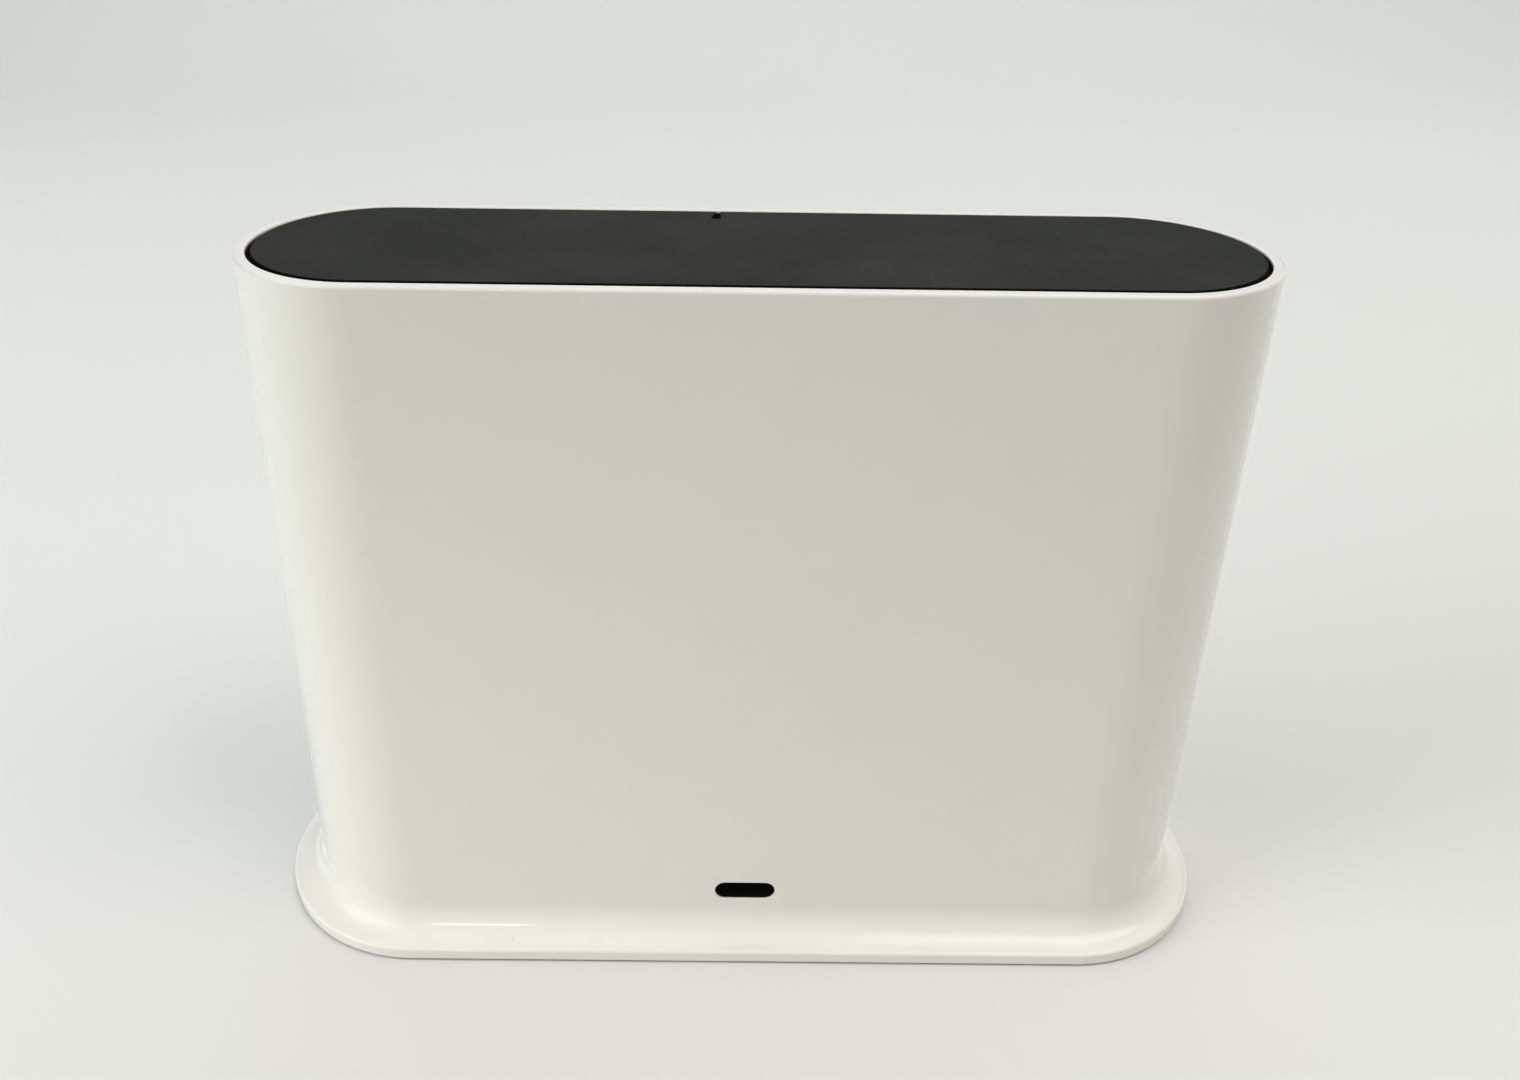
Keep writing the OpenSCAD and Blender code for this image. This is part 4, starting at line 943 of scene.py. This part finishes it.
def board_green(name):
    """Solder mask over tracks, with bare pads."""
    c = settings().colours
    f = Finish(name, IOR=1.5)
    tracks = f.use(circuit_tracks_group(), Scale=420.0)
    mask = f.mixed(tracks["Track"], opaque(c.board), opaque(c.track))
    f.feed("Base Color", f.mixed(tracks["Pad"], mask, opaque(c.gold)))
    f.feed("Metallic", tracks["Pad"])
    f.feed("Roughness", f.haze(0.26, 0.38, 150.0))
    f.bump(f.plus(tracks["Track"], tracks["Pad"]), 0.00003, 0.5)
    return f.made


def paper(name):
    """Matt paper: fine fibres and a slow drift.

    Past a slanted line in front, y + slant x = -reach, it is dim to bounced light.
    """
    g = settings().stage
    f = Finish(name, IOR=1.4, Specular_IOR_Level=0.25)
    at = f.parts(f.where)
    ahead = f.plus(at["Y"], f.times(at["X"], g.sheet_slant))
    past = f.falling(ahead, -g.sheet_reach - SHEET_BLUR, -g.sheet_reach + SHEET_BLUR)
    dim = f.times(past, f.add("LightPath")["Is Diffuse Ray"])
    tone = f.tone(g.floor, shaded(g.floor, 0.985), 5.0, 0.6)
    f.feed("Base Color", f.mixed(dim, tone, opaque(shaded(g.floor, g.past_share))))
    fibre = f.noise(f.where, 900.0, 3.0, 0.6)
    f.feed("Roughness", f.mapped(fibre, *NOISE_SPAN, 0.72, 0.85))
    f.bump(fibre, 0.00003, 0.15)
    return f.made


# Each finish: what makes it, and the values it is made with
FINISHES = {
    "gloss_white": (gloss_white,),
    # share of painted shade on faces that don't look up (all on the cover, none on the panel), then the sheen
    "charcoal_cover": (charcoal, 1.0, 0.07),
    "charcoal_panel": (charcoal, 0.0, 0.45),
    "window_black": (window_black,),
    "clear_guide": (clear_guide,),
    "led_white": (led_white,),
    "board_green": (board_green,),
    "paper": (paper,),
    # colour, drift, scale of the grain, roughness, depth of the grain
    "base_grey": (grained_plastic, ("base_grey", 1.0), ("base_grey", 0.86), 1800.0, 0.5, 0.00005),
    "pad_rubber": (grained_plastic, ("rubber", 1.0), ("rubber", 1.5), 1500.0, 0.82, 0.00008),
    "socket_black": (grained_plastic, ("black", 1.0), ("black", 1.6), 2400.0, 0.42, 0.00003),
    "button_white": (grained_plastic, ("white", 1.0), ("cream", 1.0), 2600.0, 0.30, 0.00002),
    "connector_ivory": (grained_plastic, ("ivory", 1.0), ("ivory", 0.85), 2200.0, 0.45, 0.00003),
    "carrier_grey": (grained_plastic, ("carrier", 1.0), ("carrier", 0.8), 1600.0, 0.55, 0.00005),
    "chip_black": (grained_plastic, ("black", 1.4), ("black", 1.0), 5200.0, 0.6, 0.00002),
    "ferrite": (grained_plastic, ("black", 2.2), ("black", 1.0), 3000.0, 0.7, 0.00006),
    "thermal_blue": (grained_plastic, ("thermal", 1.0), ("thermal", 0.85), 2600.0, 0.75, 0.00005),
    "capacitor_blue": (grained_plastic, ("capacitor", 1.0), ("capacitor", 0.7), 3000.0, 0.28, 0.00001),
    "lead_black": (grained_plastic, ("black", 1.0), ("black", 1.5), 3600.0, 0.5, 0.00002),
    # colour, factor of the tarnish, stretch of the lines, roughness
    "steel": (drawn_metal, "steel", 0.8, (30.0, 30.0, 1.0), 0.28),
    "shield_tin": (drawn_metal, "tin", 0.85, (1.0, 24.0, 24.0), 0.30),
    "contact_gold": (drawn_metal, "gold", 0.8, (24.0, 1.0, 24.0), 0.22),
    "sink_aluminium": (drawn_metal, "aluminium", 0.86, (30.0, 30.0, 1.0), 0.36),
}
SLOT_FINISHES = {"charcoal": "charcoal_panel"}


def finish_of(name):
    """The finish of that name, made when it is first asked for."""
    maker, *values = FINISHES[name]
    return bpy.data.materials.get(name + FINISH_TAIL) or maker(name, *values)


def finish_nodes():
    """Gives every CAD node the finish of its own material slot."""
    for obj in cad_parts.values():
        slots = obj.data.materials
        for i, old in enumerate(slots):
            slot = old.name.split(".")[0]
            slots[i] = finish_of(SLOT_FINISHES.get(slot, slot))


# Stage

def paper_sweep():
    """Floor, bend and backdrop as one sheet (x, y(v), z(v)).

    A straight, a quarter turn of the bend's radius and a straight.
    """
    g = settings().stage
    back, bend = g.backdrop, g.backdrop_bend
    steps, rises = PAPER_STEPS, PAPER_STEPS // 2
    flat = np.column_stack([np.linspace(-PAPER_FRONT, back, steps), np.zeros(steps)])
    turn = arc((back, bend), bend, -90, 0, steps)[1:]
    rise = np.column_stack([np.full(rises, back + bend), np.linspace(bend, PAPER_TOP, rises + 1)[1:]])
    run = np.concatenate([flat, turn, rise])
    x = np.linspace(-PAPER_HALF, PAPER_HALF, steps)
    grid = np.empty((len(x), len(run), 3))
    grid[..., 0] = x[:, None]
    grid[..., 1:] = run
    faces = grid_faces(index_grid(grid), False, False).reshape(-1, 4)
    mesh = bpy.data.meshes.new("paper_sweep")
    mesh.from_pydata(grid.reshape(-1, 3).tolist(), [], faces.tolist())
    mesh.polygons.foreach_set("use_smooth", np.ones(len(mesh.polygons), dtype=bool))
    mesh.materials.append(finish_of("paper"))
    obj = bpy.data.objects.new("paper_sweep", mesh)
    bpy.context.scene.collection.objects.link(obj)


def soft_surround():
    """A pale surround that is dimmer, to gloss, on the left behind the object."""
    g = settings().stage
    world = bpy.data.worlds.new("soft_surround")
    world.use_nodes = True
    n = Nodes(world.node_tree)
    shade = n.tree.nodes["Background"].inputs
    n.put(shade["Color"], opaque(g.sky))
    ray = n.add("LightPath")
    seen = n.times(n.larger(ray["Is Camera Ray"], ray["Is Transmission Ray"]), g.sky_seen)
    way = n.add("TexCoord")["Generated"]
    near = n.add("VectorMath", {0: way, 1: DIM_SIDE}, operation="DOT_PRODUCT")["Value"]
    mirrored = n.times(ray["Is Glossy Ray"], n.mapped(near, *DIM_SPAN, g.sky_gloss, g.sky_dim))
    n.put(shade["Strength"], n.larger(seen, mirrored))
    bpy.context.scene.world = world


BODY = (0.0, 0.0, 0.06)
FOOT = (0.0, -0.02, 0.0)
WHITE = (1.0, 1.0, 1.0)
# Each lamp: its power's setting, place, aim, width, depth and tint
LAMPS = {
    "left_lamp": ("left_power", (-1.10, -0.35, 0.55), BODY, 0.80, 0.80, (0.95, 1.0, 0.925)),
    "top_lamp": ("top_power", (0.0, 0.0, 1.30), BODY, 1.20, 1.00, (0.82, 0.82, 1.0)),
    "front_lamp": ("front_power", (-0.10, -0.50, 1.20), FOOT, 1.00, 0.70, (1.0, 0.88, 0.88)),
    "right_lamp": ("right_power", (0.60, -0.30, 1.10), FOOT, 0.80, 0.80, (1.0, 0.96, 0.82)),
    "far_lamp": ("far_power", (0.95, 0.55, 0.60), BODY, 0.80, 0.80, (0.82, 1.0, 0.87)),
    "rear_lamp": ("rear_power", (0.0, 0.95, 1.10), (0.0, 1.0, 0.0), 2.40, 0.80, (0.95, 0.965, 0.965)),
    "card_lamp": ("card_power", (-0.09, -0.15, 0.028), (-0.03, 0.0, 0.036), 0.30, 0.05, (1.0, 0.885, 0.82)),
    "window_shine": ("window_shine", (-0.95, -0.55, 0.85), BODY, 0.90, 0.85, WHITE),
    "ceiling_shine": ("ceiling_shine", (0.68, -0.24, 1.20), (0.68, -0.24, 0.0), 1.04, 0.76, WHITE),
    "lamp_shine": ("lamp_shine", (-0.213, -0.80, 0.72), (-0.05, -0.02, 0.0), 0.087, 0.12, WHITE),
}


def soft_lamp(name, setting, spot, aim, width, depth, tint):
    """A rectangular soft lamp at a spot, turned to an aim.

    A shine is there only for gloss to mirror. Gloss doesn't mirror the other lamps.
    """
    data = bpy.data.lights.new(name, "AREA")
    data.shape = "RECTANGLE"
    data.size, data.size_y = width, depth
    data.energy = getattr(settings().stage, setting)
    data.color = tint
    lamp = bpy.data.objects.new(name, data)
    lamp.location = spot
    lamp.visible_camera = False
    lamp.visible_glossy = name.endswith("_shine")
    lamp.visible_diffuse = not lamp.visible_glossy
    lamp.rotation_mode = "QUATERNION"
    lamp.rotation_quaternion = (Vector(aim) - Vector(spot)).to_track_quat("-Z", "Y")
    bpy.context.scene.collection.objects.link(lamp)


def lamps():
    """All lamps; light linking keeps the near card's light off the floor."""
    for name, values in LAMPS.items():
        soft_lamp(name, *values)
    spared = bpy.data.collections.new("card_lamp_spares")
    spared.objects.link(bpy.data.objects["paper_sweep"])
    spared.collection_objects[0].light_linking.link_state = "EXCLUDE"
    bpy.data.objects["card_lamp"].light_linking.receiver_collection = spared


def photo_camera():
    """A camera at the settings' place, turned by yaw, tilted by pitch, then rolled about its axis."""
    g = settings().stage
    level_run = math.cos(g.pitch)
    ahead = np.array([math.sin(g.yaw) * level_run, math.cos(g.yaw) * level_run, -math.sin(g.pitch)])
    right = np.array([math.cos(g.yaw), -math.sin(g.yaw), 0.0])
    down = np.cross(ahead, right)
    across = math.cos(g.roll) * right + math.sin(g.roll) * down
    below = math.cos(g.roll) * down - math.sin(g.roll) * right
    turn = Matrix(np.column_stack([across, -below, -ahead]).tolist())
    data = bpy.data.cameras.new("photo_camera")
    data.sensor_fit = "HORIZONTAL"
    data.lens = g.focal_px / IMAGE_W * data.sensor_width
    data.shift_x = -g.centre_u / IMAGE_W
    data.shift_y = g.centre_v / IMAGE_W
    data.clip_start, data.clip_end = CLIP_SPAN
    camera = bpy.data.objects.new("photo_camera", data)
    camera.matrix_world = Matrix.Translation(g.eye) @ turn.to_4x4()
    bpy.context.scene.collection.objects.link(camera)
    bpy.context.scene.camera = camera


# Operators

class BASE_OT_finishes(bpy.types.Operator):
    """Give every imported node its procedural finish"""
    bl_idname = "base_station.finishes"
    bl_label = "Finish the packed nodes"

    def execute(self, context):
        finish_nodes()
        return {"FINISHED"}


class BASE_OT_sleeve(bpy.types.Operator):
    """Model the sleeve with its flared foot, rim, ledge, window hole and port opening"""
    bl_idname = "base_station.sleeve"
    bl_label = "Moulded sleeve"

    def execute(self, context):
        verts, faces = sleeve_mesh()
        piece("sleeve_skin", verts, faces, finish_of("gloss_white"), STATION, "gloss_white", "outer_shell")
        return {"FINISHED"}


class BASE_OT_cover(bpy.types.Operator):
    """Model the flush top cover with its release notch"""
    bl_idname = "base_station.cover"
    bl_label = "Top cover"

    def execute(self, context):
        verts, faces = cover_mesh()
        piece("cover_plate", verts, faces, finish_of("charcoal_cover"), STATION, "charcoal", "top_cover")
        return {"FINISHED"}


class BASE_OT_window(bpy.types.Operator):
    """Model the crowned light window with its flange"""
    bl_idname = "base_station.window"
    bl_label = "Light window"

    def execute(self, context):
        t = settings().fittings
        low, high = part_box("light_window")
        flange_r = (high.z - low.z) / 2
        lens_r = flange_r - t.light_flange - t.light_gap
        back, front = -high.y, -low.y
        shoulder = back + t.light_flange_t
        crown = np.linspace(1, 0, LENS_POINTS)
        dome = np.column_stack([lens_r * crown, front - t.light_crown * crown ** 2])
        flange = [[0, back], [flange_r, back], [flange_r, shoulder], [lens_r, shoulder]]
        verts, faces = turned_mesh(np.concatenate([flange, dome]), high.x - flange_r, LENS_STEPS)
        verts = facing_front(verts, 0.0, (low.z + high.z) / 2)
        piece("window_lens", verts, faces, finish_of("window_black"), STATION, "window_black", "light_window")
        return {"FINISHED"}


class BASE_OT_button(bpy.types.Operator):
    """Model the dished sync button"""
    bl_idname = "base_station.button"
    bl_label = "Sync button"

    def execute(self, context):
        s = settings().sleeve
        t = settings().fittings
        low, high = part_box("sync_button")
        flange_r = (high.x - low.x) / 2
        stem_r = flange_r - t.sync_flange
        rim = arc((stem_r - t.sync_round, high.y - t.sync_round), t.sync_round, 0, 90, s.arc_steps)
        inward = np.linspace(1, 0, DISH_POINTS)[1:]
        dish = np.column_stack([(stem_r - t.sync_round) * inward, high.y - t.sync_dish * (1 - inward ** 2)])
        shoulder = low.y + t.sync_flange_t
        flange = [[0, low.y], [flange_r, low.y], [flange_r, shoulder], [stem_r, shoulder]]
        verts, faces = turned_mesh(np.concatenate([flange, rim, dish]), 0.0, BUTTON_STEPS)
        verts = facing_rear(verts, (low.x + high.x) / 2, (low.z + high.z) / 2)
        piece("button_cap", verts, faces, finish_of("button_white"), SYNC_KEY, "button_white", "sync_button")
        return {"FINISHED"}


class BASE_OT_pads(bpy.types.Operator):
    """Model the four rubber pads with rounded lower edges"""
    bl_idname = "base_station.pads"
    bl_label = "Foot pads"

    def execute(self, context):
        s = settings().sleeve
        t = settings().fittings
        low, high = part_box("foot_pads")
        foot = arc((t.pad_r - t.pad_round, low.z + t.pad_round), t.pad_round, -90, 0, s.arc_steps)
        section = np.concatenate([[[0, low.z]], foot, [[t.pad_r, high.z], [0, high.z]]])
        one, faces = turned_mesh(section, 0.0, PAD_STEPS)
        signs = np.array([[-1, -1], [1, -1], [1, 1], [-1, 1]])
        centres = np.column_stack([signs * (high.x - t.pad_r, high.y - t.pad_r), np.zeros(4)])
        verts = (one[None] + centres[:, None]).reshape(-1, 3)
        faces = (faces[None] + len(one) * np.arange(4)[:, None, None]).reshape(-1, 4)
        piece("pads", verts, faces, finish_of("pad_rubber"), STATION, "pad_rubber", "foot_pads")
        return {"FINISHED"}


class BASE_OT_wires(bpy.types.Operator):
    """Model the folded contact wires of the network socket"""
    bl_idname = "base_station.wires"
    bl_label = "Contact wires"

    def execute(self, context):
        verts, faces = wires_mesh()
        piece("contact_wires", verts, faces, finish_of("contact_gold"), STATION, "contact_gold", "net_contacts")
        return {"FINISHED"}


class BASE_OT_stage(bpy.types.Operator):
    """Set up the paper floor, the soft lamps and the camera"""
    bl_idname = "base_station.stage"
    bl_label = "Stage and camera"

    def execute(self, context):
        paper_sweep()
        soft_surround()
        lamps()
        photo_camera()
        context.scene.view_settings.view_transform = "Standard"
        return {"FINISHED"}


class BASE_PT_station(bpy.types.Panel):
    """Settings and build steps of the base station"""
    bl_label = "Base station"
    bl_idname = "BASE_PT_station"
    bl_space_type = "VIEW_3D"
    bl_region_type = "UI"
    bl_category = "Base station"

    def draw(self, context):
        layout = self.layout
        for group in GROUPS:
            box = layout.box()
            box.label(text=group.replace("_", " ").capitalize())
            values = getattr(settings(), group)
            for label in values.__annotations__:
                box.prop(values, label)
        for step in STEPS:
            layout.operator(step.bl_idname)


GROUPS = ("sleeve", "fittings", "colours", "stage")
STEPS = (BASE_OT_finishes, BASE_OT_sleeve, BASE_OT_cover, BASE_OT_window, BASE_OT_button, BASE_OT_pads,
         BASE_OT_wires, BASE_OT_stage)
CLASSES = (SleeveSizes, FittingSizes, FinishColours, StageSettings, StationSettings, *STEPS, BASE_PT_station)


def register():
    for cls in CLASSES:
        bpy.utils.register_class(cls)
    bpy.types.Scene.base_station = PointerProperty(type=StationSettings)


def unregister():
    del bpy.types.Scene.base_station
    for cls in reversed(CLASSES):
        bpy.utils.unregister_class(cls)


def main():
    register()
    for step in STEPS:
        group, name = step.bl_idname.split(".")
        getattr(getattr(bpy.ops, group), name)()


if __name__ == "__main__":
    main()
